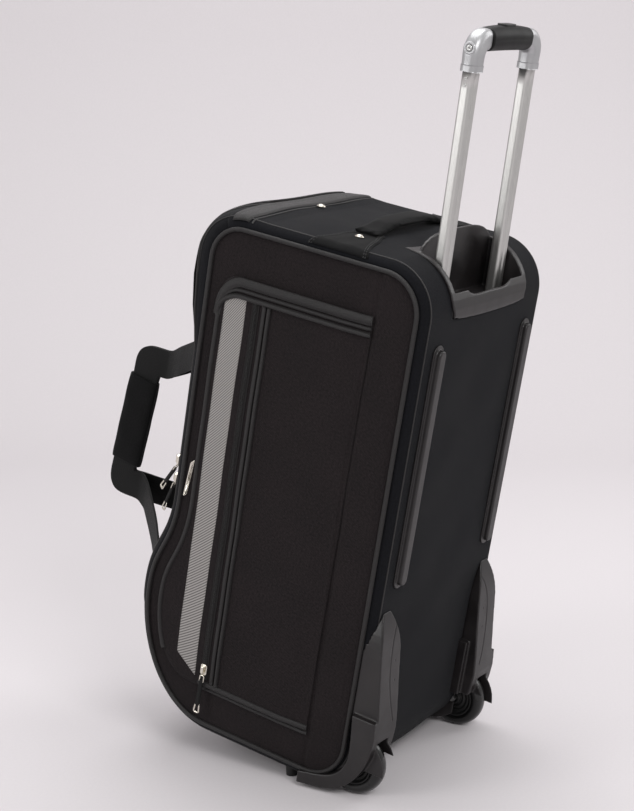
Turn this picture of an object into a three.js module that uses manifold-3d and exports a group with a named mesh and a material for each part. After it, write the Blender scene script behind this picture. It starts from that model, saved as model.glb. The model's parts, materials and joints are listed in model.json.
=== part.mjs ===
// A wheeled softside bag that leans back on two wheels and two feet.
// Bag frame, in millimetres: x across, y = 0 on the back panel with the front at -y, z up the back panel.
// The whole bag is turned by the lean at the end, so the wheels and feet stand on z = 0.
import * as THREE from "three";
import { mergeVertices } from "three/addons/utils/BufferGeometryUtils.js";
import Module from "manifold-3d";

const gap = 0.3; // between pieces that touch
const lean = 10; // degrees that the bag leans back when it stands

// Case
const caseWidth = 284;
const caseTop = 634;
const caseBottom = -2;
const upperDepth = 300; // front face, near the top
const bellyDepth = 327; // front face, where the filled bag bulges low down
const bellyHeight = 152;
const backTopRadius = 58;
const frontTopRadius = 52;
const frontBottomRadius = 118;
const backBottomRadius = 60;
const edgeRadius = 12; // round edge between the sides and the band
const wall = 3;
const backCut = 30; // where the back panel meets the top and the bottom panel
const boardThickness = 1.8;
const boardMargin = 22; // under the top edge's rounding

// Lid and its zip
const lidMargin = 20; // between the lid and the side of the case
const lidHalfWidth = caseWidth / 2 - lidMargin;
const lidBottom = 62;
const lidOverlap = 24; // how far the lid reaches over the top
const zipSlot = 6; // between the lid and the rim on the side that opens
const zipWidth = 9;
const zipThickness = 1.5;
const zipMiddle = 310; // height where the two sliders meet
const sliderSpacing = 24;
const sliderClearance = 2.6;
const sliderSize = { width: 9, length: 14, height: 5 };
const waistMargin = 5; // of flat front under the lower slider
const waistHeight = zipMiddle - (sliderSpacing + sliderSize.length) / 2 - waistMargin; // flat above this
const zipTopMargin = 182; // between the top of the case and the upper slider's highest place
const upperTravel = caseTop - zipTopMargin - zipMiddle - sliderSpacing / 2;
const lowerTravel = 60;
const mainPullLength = 40;
const pocketPullLength = 48;
const pocketSliderRise = 28; // of the pocket's slider over the bottom of the pocket

// Piping, side pocket, stripe
const pipingWidth = 5;
const pocketBack = 64;
const pocketBottom = 56;
const pocketDrop = 66; // of the pocket's top below the top of the case
const pocketTop = caseTop - pocketDrop;
const pocketRadius = 24;
const pocketThickness = 5;
const pocketMargin = 31; // from the case outline at the front
const stripeFront = 258;
const stripeWidth = 30;
const stripeThickness = 1;
const pocketZipAt = 214;
const pocketZipWidth = 12;
const badgeDepth = 278;
const badgeLength = 50;

// Wheels
const wheelRadius = 38;
const wheelWidth = 22;
const wheelInset = 17; // of the wheel's middle from the side of the case
const wheelAt = caseWidth / 2 - wheelInset;
const axleDepth = 3; // in front of the back panel
const axleRadius = 4;
const rimRadius = 25;
const wellClearance = 4;
const wellSide = 1.5;
const wellWall = 2;

// Housings, guards, feet, skid rails
const housingInset = 27; // from the wheel's middle to the housing's inner side
const housingInner = wheelAt - housingInset;
const housingProud = 1;
const housingOuter = caseWidth / 2 + housingProud;
const guardProud = 8.5; // past the side of the case, over the piping
const guardOuter = caseWidth / 2 + guardProud;
const housingTop = 240;
const guardTop = 106;
const axleEnd = 8; // how far the axle reaches past the outside of the well
const innerSkirt = 56; // lower end of the housing on the inner side of the wheel
const guardFront = 65;
const footDepth = 86;
const footRadius = 8;
const railInset = 35; // of the rail's middle from the side of the case
const railAt = caseWidth / 2 - railInset;
const railWidth = 22;
const railBottom = 257;
const railDrop = 86; // of the rail's top below the top of the case
const railTop = caseTop - railDrop;
const railHeight = 9;

// Telescopic handle and its cup
const tubeAt = 68.3;
const tubeWidth = 21;
const tubeThickness = 13;
const tubeWall = 1.3;
const tubeDepth = 30;
const tubeTilt = 1.6; // degrees that the tubes lean forward of the back panel
const pivotDrop = 34; // below the top of the case
const tubePivot = caseTop - pivotDrop; // height where the tubes lie at tubeDepth
const drawnOut = 206; // of the inner tubes above the top of the case
const tubeTop = caseTop + drawnOut;
const tubeBase = 62; // height of the outer tubes' lower ends
const bezelDrop = 60;
const bezelBottom = caseTop - bezelDrop;
const outerLength = bezelBottom - tubeBase;
const innerExtra = 13; // the inner tubes are this much longer than the outer ones
const innerLength = outerLength + innerExtra;
const outerTubeWall = 1.2;
const slideClearance = 0.8;
const endHeight = 46;
const endThickness = 19;
const gripHeight = 27;
const gripThickness = 27;
const buttonLength = 30;
const buttonWidth = 12;
const cupHalfWidth = 86;
const cupDepth = 56;
const cupWall = 3;
const cupFloor = bezelBottom + 3;
const bezelThickness = 4;
const bezelHalfWidth = 92;
const bezelTip = 74;
const bezelRim = 19; // how far the front rim stands over the top

// Soft handles
const webbing = 38;
const webbingThickness = 3;
const strapInset = 18; // of the strap's anchors from the edge of the lid
const strapAnchor = lidHalfWidth - strapInset;
const strapClearance = 8;
const upperAnchorDrop = 182; // below the top of the case
const upperAnchorHeight = caseTop - upperAnchorDrop;
const lowerAnchorHeight = 178;
const gripReach = 460; // depth of the middle of the carry grip
const upperCorner = upperAnchorHeight - 68;
const gripLength = 172; // between the grip's two corners
const lowerCorner = upperCorner - gripLength;
const wrapLength = 120;
const wrapWidth = 46;
const wrapThickness = 13;
const haulAt = 125;
const haulWidth = 36;
const haulHalfLength = 76;
const haulRise = 18;
const patchLength = 46;
const patchWidth = 52;
const rivetRadius = 5;

// Steps in each curve of an outline
const plain = { bevelEnabled: false, curveSegments: 3 };
const caseSegments = 5;
const wheelSegments = 28;
const smallPiece = { curveSegments: 1 };

const wasm = await Module();
wasm.setup();

// Manifold solid of a three.js geometry.
function solidOf(geometry) {
  const bare = geometry.clone();
  bare.deleteAttribute("normal");
  bare.deleteAttribute("uv");
  const merged = mergeVertices(bare, 1e-4);
  return new wasm.Manifold(
    new wasm.Mesh({
      numProp: 3,
      vertProperties: new Float32Array(merged.attributes.position.array),
      triVerts: new Uint32Array(merged.index.array),
    }),
  );
}

// three.js geometry of a Manifold solid.
function geometryOf(solid) {
  const mesh = solid.getMesh();
  const geometry = new THREE.BufferGeometry();
  geometry.setAttribute("position", new THREE.BufferAttribute(mesh.vertProperties, 3));
  geometry.setIndex(new THREE.BufferAttribute(mesh.triVerts, 1));
  const flat = geometry.toNonIndexed();
  flat.computeVertexNormals();
  return flat;
}

const alongX = new THREE.Matrix4().makeBasis(
  new THREE.Vector3(0, 1, 0),
  new THREE.Vector3(0, 0, 1),
  new THREE.Vector3(1, 0, 0),
);
const alongY = new THREE.Matrix4().makeBasis(
  new THREE.Vector3(1, 0, 0),
  new THREE.Vector3(0, 0, 1),
  new THREE.Vector3(0, -1, 0),
);

// A (y, z) outline made solid from one x to another.
function slabX(shape, from, to, options = {}) {
  const geometry = new THREE.ExtrudeGeometry(shape, { ...plain, depth: to - from, ...options });
  return solidOf(geometry.translate(0, 0, from).applyMatrix4(alongX));
}

// An (x, z) outline made solid from one y back to a lower one.
function slabY(shape, from, to, options = {}) {
  const geometry = new THREE.ExtrudeGeometry(shape, { ...plain, depth: from - to, ...options });
  return solidOf(geometry.translate(0, 0, -from).applyMatrix4(alongY));
}

// An (x, y) outline made solid from one z to another.
function slabZ(shape, from, to, options = {}) {
  const geometry = new THREE.ExtrudeGeometry(shape, { ...plain, depth: to - from, ...options });
  return solidOf(geometry.translate(0, 0, from));
}

function box(x0, x1, y0, y1, z0, z1) {
  const geometry = new THREE.BoxGeometry(x1 - x0, y1 - y0, z1 - z0);
  return solidOf(geometry.translate((x0 + x1) / 2, (y0 + y1) / 2, (z0 + z1) / 2));
}

// A round bar along x.
function barX(radius, x0, x1, y, z, segments = 24) {
  const geometry = new THREE.CylinderGeometry(radius, radius, x1 - x0, segments);
  return solidOf(geometry.rotateZ(-Math.PI / 2).translate((x0 + x1) / 2, y, z));
}

// A closed ring or disc turned about the x axis through the wheel's centre.
function turnedX(profile, segments) {
  const points = profile.map(([radius, along]) => new THREE.Vector2(radius, along));
  return solidOf(new THREE.LatheGeometry(points, segments).rotateZ(-Math.PI / 2));
}

function roundedRectangle(width, height, radius) {
  const shape = new THREE.Shape();
  const x = width / 2 - radius;
  const y = height / 2 - radius;
  shape.absarc(x, y, radius, 0, Math.PI / 2);
  shape.absarc(-x, y, radius, Math.PI / 2, Math.PI);
  shape.absarc(-x, -y, radius, Math.PI, Math.PI * 1.5);
  shape.absarc(x, -y, radius, Math.PI * 1.5, Math.PI * 2);
  shape.closePath();
  return shape;
}

function polygon(points) {
  return new THREE.Shape(points.map(([u, v]) => new THREE.Vector2(u, v)));
}

const mirror = new THREE.Matrix4().makeScale(-1, 1, 1);

// The same solid on the other side of the middle.
function mirrored(solid) {
  const geometry = geometryOf(solid).applyMatrix4(mirror);
  const position = geometry.attributes.position;
  for (let i = 0; i < position.count; i += 3) {
    for (const read of ["X", "Y", "Z"]) {
      const second = position["get" + read](i + 1);
      position["set" + read](i + 1, position["get" + read](i + 2));
      position["set" + read](i + 2, second);
    }
  }
  return solidOf(geometry);
}

const fabric = { color: 0x1b1b1d, roughness: 0.9, metalness: 0 };
const webbingCloth = { color: 0x141414, roughness: 0.8, metalness: 0 };
const lining = { color: 0x3a3a3c, roughness: 0.95, metalness: 0 };
const silverCloth = { color: 0xa5a3a0, roughness: 0.75, metalness: 0 };
const zipTape = { color: 0x101010, roughness: 0.6, metalness: 0 };
const greyPlastic = { color: 0x3a3635, roughness: 0.45, metalness: 0 };
const blackPlastic = { color: 0x161616, roughness: 0.5, metalness: 0 };
const softGrip = { color: 0x181818, roughness: 0.6, metalness: 0 };
const anodised = { color: 0xb9b7b3, roughness: 0.35, metalness: 0.9 };
const silverPaint = { color: 0xbfbfbf, roughness: 0.35, metalness: 0.6 };
const nickel = { color: 0xc9c4b8, roughness: 0.2, metalness: 1 };
const polyurethane = { color: 0x121212, roughness: 0.3, metalness: 0 };

const bag = new THREE.Group();

function addPiece(parent, name, solid, material) {
  const mesh = new THREE.Mesh(geometryOf(solid), new THREE.MeshStandardMaterial(material));
  mesh.name = name;
  parent.add(mesh);
  return mesh;
}

function addPair(parent, name, solid, material) {
  addPiece(parent, name + "_right", solid, material);
  addPiece(parent, name + "_left", mirrored(solid), material);
}

// Side view of the case in (y, z), all round inside by `inset`.
function caseOutline(inset = 0) {
  const shape = new THREE.Shape();
  const top = caseTop - inset;
  const bottom = caseBottom + inset;
  const upper = upperDepth - inset;
  const belly = bellyDepth - inset;
  const radii = [backTopRadius, frontTopRadius, frontBottomRadius, backBottomRadius];
  const [backTop, frontTop, frontBottom, backBottom] = radii.map((radius) => radius - inset);
  const middle = (waistHeight + bellyHeight) / 2;
  const rise = bellyHeight - bottom;
  shape.absarc(-inset - backTop, top - backTop, backTop, 0, Math.PI / 2);
  shape.absarc(-upper + frontTop, top - frontTop, frontTop, Math.PI / 2, Math.PI);
  shape.lineTo(-upper, waistHeight);
  shape.bezierCurveTo(-upper, middle, -belly, middle, -belly, bellyHeight);
  shape.absellipse(-belly + frontBottom, bellyHeight, frontBottom, rise, Math.PI, Math.PI * 1.5);
  shape.absarc(-inset - backBottom, bottom + backBottom, backBottom, Math.PI * 1.5, Math.PI * 2);
  shape.closePath();
  return shape;
}

// The case as a filled body with round edges, all round inside by `inset`.
function caseBody(inset) {
  const flat = caseWidth / 2 - edgeRadius;
  const round = edgeRadius - inset;
  return slabX(caseOutline(edgeRadius), -flat, flat, {
    bevelEnabled: true,
    bevelThickness: round,
    bevelSize: round,
    bevelSegments: 3,
    curveSegments: caseSegments,
  });
}

// Depth of the front face at a height.
function frontDepth(height) {
  const points = caseOutline().getPoints(20).filter((point) => point.x < -bellyDepth / 2);
  const after = points.findIndex((point) => point.y < height);
  const [above, below] = [points[after - 1], points[after]];
  return -THREE.MathUtils.mapLinear(height, above.y, below.y, above.x, below.x);
}

const far = 1000; // past every piece
const flat = caseWidth / 2 - edgeRadius;
const axle = { y: -axleDepth, z: wheelRadius };
const wellRadius = wheelRadius + wellClearance;
const wellInside = wheelAt - wheelWidth / 2 - wellSide;
const wellOutside = wheelAt + wheelWidth / 2 + wellSide;
const grown = caseBody(-gap);

// Room in the case for one wheel well, and for the cup of the telescopic handle.
function wellRoom() {
  const radius = wellRadius + wellWall + gap;
  const from = wellInside - wellWall - gap;
  const to = wellOutside + wellWall + gap;
  const below = box(from, to, axle.y - radius, far, -far, axle.z);
  return barX(radius, from, to, axle.y, axle.z, 40).add(below);
}

function cupRoom() {
  const side = cupHalfWidth + gap;
  return box(-side, side, -cupDepth - gap, far, bezelBottom + 2 - gap, far);
}

function addCase() {
  const room = wellRoom();
  const shell = caseBody(0)
    .subtract(caseBody(wall))
    .subtract(room)
    .subtract(mirrored(room))
    .subtract(cupRoom());
  addPair(bag, "side_panel", shell.intersect(box(flat, far, -far, far, -far, far)), fabric);

  const band = shell.intersect(box(-flat + gap, flat - gap, -far, far, -far, far));
  const topCut = caseTop - backCut;
  const frontCut = upperDepth - lidOverlap;
  const upTo = (z) => box(-far, far, -far, far, -far, z);
  addPiece(bag, "back_panel", band.intersect(box(-far, far, -backCut, far, backCut, topCut)), fabric);
  addPiece(bag, "bottom_panel", band.intersect(upTo(backCut - gap)), fabric);
  addPiece(bag, "top_panel", band.intersect(box(-far, far, -frontCut, far, topCut + gap, far)), fabric);

  const face = box(-far, far, -far, -backCut - gap, backCut, topCut);
  const over = box(-far, far, -far, -frontCut - gap, topCut - gap, far);
  const front = band.intersect(face.add(over)).subtract(box(-far, far, -frontCut - gap, far, -far, far));
  const opening = box(-lidHalfWidth - gap, lidHalfWidth + gap, -far, far, lidBottom - gap, far);
  const lidBox = box(-lidHalfWidth, lidHalfWidth - zipSlot, -far, far, lidBottom, far);
  addPiece(bag, "front_rim", front.subtract(opening), fabric);
  addPiece(bag, "lid", front.intersect(lidBox), fabric);

  const boardBack = -wall - gap;
  const boardHeight = caseTop - backTopRadius - 2 * wellRadius - boardMargin;
  const board = roundedRectangle(2 * (wellInside - wellWall - 2), boardHeight, 12);
  const middle = 2 * wellRadius + boardHeight / 2;
  const sheet = slabY(board, boardBack, boardBack - boardThickness).translate([0, 0, middle]);
  addPiece(bag, "back_board", sheet, lining);
}

function addPiping() {
  const ring = caseOutline(edgeRadius - 1.5);
  ring.holes.push(caseOutline(edgeRadius - 1.5 + pipingWidth));
  const from = caseWidth / 2 + gap;
  const cord = slabX(ring, from, from + pipingWidth - 0.5, { curveSegments: caseSegments });
  addPair(bag, "piping", cord, fabric);
}

// The zip runs up one long side of the lid and across both its ends.
function addMainZip() {
  const skin = caseBody(-gap - zipThickness).subtract(grown);
  const frontCut = upperDepth - lidOverlap;
  const side = lidHalfWidth + gap;
  const bottom = lidBottom - gap;
  const outer = box(-side, side + zipWidth, -far, -frontCut + zipWidth, bottom - zipWidth, far);
  const inner = box(-far, side, -far, -frontCut, bottom, far);
  addPiece(bag, "main_zip", skin.intersect(outer).subtract(inner), zipTape);
}

// Side pocket with its grey stripe and zip, on the flat of one side.
function addPocket() {
  const base = caseWidth / 2 + gap;
  const smooth = { curveSegments: caseSegments };
  const outline = slabX(caseOutline(pocketMargin), base, base + pocketThickness, smooth);
  const front = upperDepth - pocketMargin;
  const height = pocketTop - pocketBottom;
  const sheet = roundedRectangle(front - pocketBack + pocketRadius, height, pocketRadius);
  const middle = -(front + pocketBack - pocketRadius) / 2;
  const place = [0, middle, pocketBottom + height / 2];
  const patch = slabX(sheet, base - 1, base + pocketThickness + 1).translate(place);
  const panel = outline.intersect(patch).intersect(box(-far, far, -far, -pocketBack, -far, far));
  addPair(bag, "side_pocket", panel, fabric);

  const face = base + pocketThickness + gap;
  const edge = 10;
  const low = pocketBottom + edge;
  const high = pocketTop - 2 * edge;
  const stripe = box(face, face + stripeThickness, -stripeFront, -stripeFront + stripeWidth, low, high);
  const insideEdge = slabX(caseOutline(pocketMargin + 4), 0, far);
  addPair(bag, "pocket_stripe", stripe.intersect(insideEdge), silverCloth);
  const zip = [-pocketZipAt - pocketZipWidth / 2, -pocketZipAt + pocketZipWidth / 2];
  addPair(bag, "pocket_zip", box(face, face + zipThickness, zip[0], zip[1], low, high), zipTape);
  return face + zipThickness + gap;
}

// Slider body with a bridge that holds a pull; its back lies on z = 0 and it runs along y.
function sliderSolid() {
  const { width, length, height } = sliderSize;
  const body = slabZ(roundedRectangle(width, length, 2.5), 0, height * 0.6, smallPiece);
  const loop = roundedRectangle(length * 0.7, height, 1);
  const bridge = slabX(loop, -1.5, 1.5, smallPiece).translate([0, 0, height * 0.8]);
  const eye = box(-2, 2, -length * 0.2, length * 0.2, height * 0.6, height);
  return body.add(bridge).subtract(eye);
}

// Pull: a wire ring, a cord tab and an end ring, hanging along -y from the origin.
function pullSolid(length) {
  const ring = roundedRectangle(7, 10, 2);
  ring.holes.push(roundedRectangle(4.4, 7.4, 1));
  const tail = roundedRectangle(9, 13, 2);
  tail.holes.push(roundedRectangle(5, 8, 1));
  const tab = roundedRectangle(6, length - 17, 2);
  const thick = 1.4;
  return slabZ(ring, -thick / 2, thick / 2, smallPiece)
    .translate([0, -3.7, 0])
    .add(slabZ(tab, -1.5, 1.5, smallPiece).translate([0, -(length - 3) / 2, 0]))
    .add(slabZ(tail, -thick / 2, thick / 2, smallPiece).translate([0, -length + 6, 0]));
}

// A slider and its pull on a face with normal `out`, running along `along`.
function addSlider(name, at, out, along, tilt, pullLength) {
  const mount = new THREE.Group();
  const across = new THREE.Vector3().crossVectors(along, out);
  mount.matrixAutoUpdate = false;
  mount.matrix.makeBasis(across, along, out).setPosition(at);
  bag.add(mount);
  addPiece(mount, name + "_slider", sliderSolid(), nickel);
  const pull = addPiece(mount, name + "_pull", pullSolid(pullLength), blackPlastic);
  pull.position.set(0, -sliderSize.length / 2 - 1.2, sliderSize.height * 0.8);
  pull.rotation.x = -THREE.MathUtils.degToRad(tilt);
}

function addSliders(pocketFace) {
  const up = new THREE.Vector3(0, 0, 1);
  const right = new THREE.Vector3(1, 0, 0);
  const left = right.clone().negate();
  const low = new THREE.Vector3(pocketFace, -pocketZipAt, pocketBottom + pocketSliderRise);
  addSlider("pocket_right", low, right, up, 4, pocketPullLength);
  addSlider("pocket_left", low.clone().setX(-pocketFace), left, up, 4, pocketPullLength);
  for (const [name, travel, hang] of [["main_upper", upperTravel, 28], ["main_lower", -lowerTravel, 12]]) {
    const height = zipMiddle + (Math.sign(travel) * sliderSpacing) / 2;
    const start = new THREE.Vector3(0, -frontDepth(height), height);
    const end = new THREE.Vector3(0, -frontDepth(height + travel), height + travel);
    const along = end.sub(start).multiplyScalar(Math.sign(travel)).normalize();
    const out = new THREE.Vector3().crossVectors(right, along);
    start.addScaledVector(out, zipThickness + sliderClearance);
    start.x = lidHalfWidth + sliderSize.width / 2 + 2 * gap;
    addSlider(name, start, out, along, hang, mainPullLength);
  }
}

// Wheel: a tyre on a hub that turns on a fixed axle.
function addWheel() {
  const half = wheelWidth / 2;
  const grow = rimRadius + gap;
  const crown = wheelRadius - 9;
  const tread = [[grow, -half + 1]];
  for (let i = 0; i <= 6; i++) {
    const turn = (Math.PI * i) / 6 - Math.PI / 2;
    tread.push([crown + 9 * Math.cos(turn), half * Math.sin(turn)]);
  }
  tread.push([grow, half - 1], [grow, -half + 1]);
  const place = [wheelAt, axle.y, axle.z];
  addPair(bag, "tyre", turnedX(tread, wheelSegments).translate(place), polyurethane);

  const bore = axleRadius + gap;
  const dish = 4;
  const hub = [
    [bore, -half],
    [bore + 5, -half],
    [bore + 7, -half + dish],
    [rimRadius - 5, -half + dish],
    [rimRadius - 2, -half + 1],
    [rimRadius, -half + 1],
    [rimRadius, half - 1],
    [rimRadius - 2, half - 1],
    [rimRadius - 5, half - dish],
    [bore + 7, half - dish],
    [bore + 5, half],
    [bore, half],
    [bore, -half],
  ];
  addPair(bag, "wheel_hub", turnedX(hub, wheelSegments).translate(place), blackPlastic);
  const rod = barX(axleRadius, wellInside - wellWall, wellOutside + axleEnd, axle.y, axle.z);
  addPair(bag, "wheel_axle", rod, nickel);
}

// Wheel housing and corner guard in one moulding.
function addHousing() {
  const side = new THREE.Shape();
  side.moveTo(-guardFront, caseBottom - 4);
  side.splineThru([
    new THREE.Vector2(-22, caseBottom + 5),
    new THREE.Vector2(6, 23),
    new THREE.Vector2(23, 56),
    new THREE.Vector2(27, 86),
  ]);
  side.lineTo(25, 108);
  side.splineThru([
    new THREE.Vector2(20, 146),
    new THREE.Vector2(12, 202),
    new THREE.Vector2(-axleDepth, housingTop),
  ]);
  side.lineTo(-guardFront, housingTop);
  const ogive = new THREE.Shape();
  const middle = (housingInner + housingOuter) / 2;
  ogive.moveTo(housingInner, -far);
  ogive.lineTo(housingOuter, -far);
  ogive.lineTo(housingOuter, housingTop - 60);
  ogive.quadraticCurveTo(housingOuter - 2, housingTop - 20, middle, housingTop);
  ogive.quadraticCurveTo(housingInner + 2, housingTop - 20, housingInner, housingTop - 60);
  const profile = { curveSegments: 8 };
  const fin = slabX(side, housingInner, housingOuter, profile).intersect(slabY(ogive, far, -far, profile));
  const upper = fin.intersect(box(-far, far, -edgeRadius - 2, far, guardTop - 12, far));

  const guardBox = box(wellInside - wellWall, guardOuter, -far, far, -far, guardTop);
  const guard = slabX(side, wellInside - wellWall, guardOuter, profile).intersect(guardBox);
  const panel = new THREE.Shape();
  panel.moveTo(-guardFront - 1, 9);
  panel.splineThru([
    new THREE.Vector2(-30, 18),
    new THREE.Vector2(-14, 28),
    new THREE.Vector2(-5, 42),
    new THREE.Vector2(-2, 60),
    new THREE.Vector2(-6, guardTop + 1),
  ]);
  panel.lineTo(-guardFront - 1, guardTop + 1);
  const lower = fin.intersect(box(-far, far, 0, far, innerSkirt, guardTop));
  const step = box(housingInner - 7, housingInner + 1, gap, 12, innerSkirt, 128);

  const radius = wellRadius + wellWall;
  const well = barX(radius, wellInside - wellWall, wellOutside + wellWall, axle.y, axle.z, 40);
  const hollow = barX(wellRadius, wellInside, wellOutside, axle.y, axle.z, 40)
    .add(box(wellInside, wellOutside, 0, far, -far, axle.z + 38))
    .add(box(wellInside, wellOutside, axle.y - wellRadius, far, -far, axle.z));
  const floor = box(-far, far, -far, far, -far, axle.z - 36);
  const outside = guard
    .subtract(slabX(panel, flat, far))
    .add(upper)
    .add(lower)
    .add(step)
    .subtract(grown);
  const pipe = caseOutline(edgeRadius - 1.5 - gap);
  pipe.holes.push(caseOutline(edgeRadius - 1.5 + pipingWidth + gap));
  const reach = axleEnd + gap;
  const bore = barX(axleRadius + gap, wellInside - reach, wellOutside + reach, axle.y, axle.z);
  const cornerCurves = { curveSegments: caseSegments };
  const housing = outside
    .add(well.subtract(floor).intersect(caseBody(gap)))
    .add(well.subtract(floor).intersect(box(-far, far, -4, far, axle.z, far)))
    .subtract(hollow)
    .subtract(box(-far, wellInside + 1, 1, far, -far, innerSkirt))
    .subtract(bore)
    .subtract(slabX(pipe, caseWidth / 2, caseWidth / 2 + pipingWidth + gap, cornerCurves));
  addPair(bag, "wheel_housing", housing, greyPlastic);
}

// The wheels' contact line and the feet share one level floor under the leaning bag.
const turn = THREE.MathUtils.degToRad(lean);

function addFeet() {
  const sole = axle.z - (axle.z + (axle.y + footDepth) * Math.sin(turn)) / Math.cos(turn);
  const stud = new THREE.CylinderGeometry(footRadius, footRadius - 1.5, 40, 20).rotateX(Math.PI / 2);
  stud.translate(0, 0, 20).rotateX(turn).translate(wheelAt, -footDepth, sole);
  const below = box(-far, far, -far, far, -far, 4);
  addPair(bag, "foot", solidOf(stud).subtract(grown).intersect(below), blackPlastic);
}

function addRails() {
  const outline = roundedRectangle(railWidth, railTop - railBottom, railWidth / 2 - 0.5);
  const flange = slabY(outline, gap + 2.5, gap);
  const inner = roundedRectangle(railWidth - 7, railTop - railBottom - 10, 7);
  const rib = slabY(inner, railHeight - 2, gap + 2, {
    bevelEnabled: true,
    bevelThickness: 2,
    bevelSize: 2,
    bevelOffset: -2,
    bevelSegments: 2,
  });
  const place = [railAt, 0, (railTop + railBottom) / 2];
  addPair(bag, "skid_rail", flange.add(rib).translate(place), greyPlastic);
}

// Cup around the tubes, wrapped over the top back edge.
function addBezel() {
  const back = new THREE.Shape();
  back.moveTo(-bezelHalfWidth, bezelBottom + 30);
  back.quadraticCurveTo(-bezelHalfWidth, bezelBottom, -bezelHalfWidth + 22, bezelBottom);
  back.quadraticCurveTo(0, bezelBottom - 4, bezelHalfWidth - 22, bezelBottom);
  back.quadraticCurveTo(bezelHalfWidth, bezelBottom, bezelHalfWidth, bezelBottom + 30);
  back.lineTo(bezelHalfWidth, far);
  back.lineTo(-bezelHalfWidth, far);
  const plan = new THREE.Shape();
  const corner = bezelHalfWidth - 10;
  plan.moveTo(bezelHalfWidth, far);
  plan.lineTo(-bezelHalfWidth, far);
  plan.lineTo(-bezelHalfWidth, -20);
  plan.quadraticCurveTo(-bezelHalfWidth, -50, -corner, -bezelTip);
  plan.quadraticCurveTo(-50, -cupDepth - 6, 0, -cupDepth - 5);
  plan.quadraticCurveTo(50, -cupDepth - 6, corner, -bezelTip);
  plan.quadraticCurveTo(bezelHalfWidth, -50, bezelHalfWidth, -20);
  const skin = caseBody(-bezelThickness)
    .subtract(grown)
    .intersect(slabY(back, far, -far, { curveSegments: 6 }))
    .intersect(slabZ(plan, -far, far, { curveSegments: 6 }));
  const side = cupHalfWidth;
  const inside = side - cupWall;
  const top = caseTop + bezelThickness;
  const cup = box(-side, side, -cupDepth, far, bezelBottom + 2, far).intersect(caseBody(-bezelThickness));
  const crest = new THREE.Shape();
  crest.moveTo(-side, top - 2);
  crest.bezierCurveTo(-side * 0.8, top + bezelRim, -side * 0.5, top + bezelRim, 0, top + bezelRim);
  crest.bezierCurveTo(side * 0.5, top + bezelRim, side * 0.8, top + bezelRim, side, top - 2);
  const rim = slabY(crest, -cupDepth + cupWall + 1, -cupDepth, { curveSegments: 8 });
  const front = -cupDepth + cupWall + 1;
  const hollow = box(-inside, inside, front, -wall, cupFloor + 2, far);
  const lip = new THREE.Shape();
  lip.moveTo(-62, far);
  lip.lineTo(-62, cupFloor + 40);
  lip.bezierCurveTo(-52, cupFloor + 14, -30, cupFloor + 20, 0, cupFloor + 20);
  lip.bezierCurveTo(30, cupFloor + 20, 52, cupFloor + 14, 62, cupFloor + 40);
  lip.lineTo(62, far);
  const notch = slabY(lip, far, -wall - 2, { curveSegments: 6 });
  const mouth = box(-inside, inside, front, -8, caseTop - 24, far);
  const tube = new THREE.Matrix4().makeRotationX(THREE.MathUtils.degToRad(tubeTilt));
  tube.setPosition(tubeAt, -tubeDepth, tubePivot);
  const slot = roundedRectangle(tubeWidth + 2 * slideClearance, tubeThickness + 2 * slideClearance, 5);
  const bore = new THREE.ExtrudeGeometry(slot, { ...plain, depth: 200 }).translate(0, 0, -100);
  const hole = solidOf(bore.applyMatrix4(tube));
  const rooms = hollow.add(notch).add(mouth).add(hole).add(mirrored(hole));
  const bezel = skin.add(cup).add(rim).subtract(rooms);
  addPiece(bag, "handle_cup", bezel, greyPlastic);
}

// Telescopic handle, in its own frame: z along the tubes, origin on the pivot height.
const trolley = new THREE.Group();
trolley.position.set(0, -tubeDepth, tubePivot);
trolley.rotation.x = THREE.MathUtils.degToRad(tubeTilt);
bag.add(trolley);

function tubeSolid(width, thickness, thick, from, to) {
  const section = roundedRectangle(width, thickness, 4.5);
  section.holes.push(roundedRectangle(width - 2 * thick, thickness - 2 * thick, 3));
  return slabZ(section, from, to, { curveSegments: 4 }).translate([tubeAt, 0, 0]);
}

function addTrolley() {
  const top = tubeTop - tubePivot;
  const inner = tubeSolid(tubeWidth, tubeThickness, tubeWall, top - innerLength, top);
  addPair(trolley, "inner_tube", inner, anodised);
  const grow = 2 * (slideClearance + outerTubeWall);
  const outerTop = bezelBottom + 2 - gap - tubePivot - 1.5;
  const [wide, deep] = [tubeWidth + grow, tubeThickness + grow];
  const outer = tubeSolid(wide, deep, outerTubeWall, outerTop - outerLength, outerTop);
  addPair(trolley, "outer_tube", outer, anodised);

  const footTop = outerTop - outerLength - gap;
  const foot = roundedRectangle(2 * tubeAt + tubeWidth + 14, tubeThickness + grow, 4);
  addPiece(trolley, "tube_foot", slabZ(foot, footTop - 6, footTop), blackPlastic);
  addGrip(top + gap);
}

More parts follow.
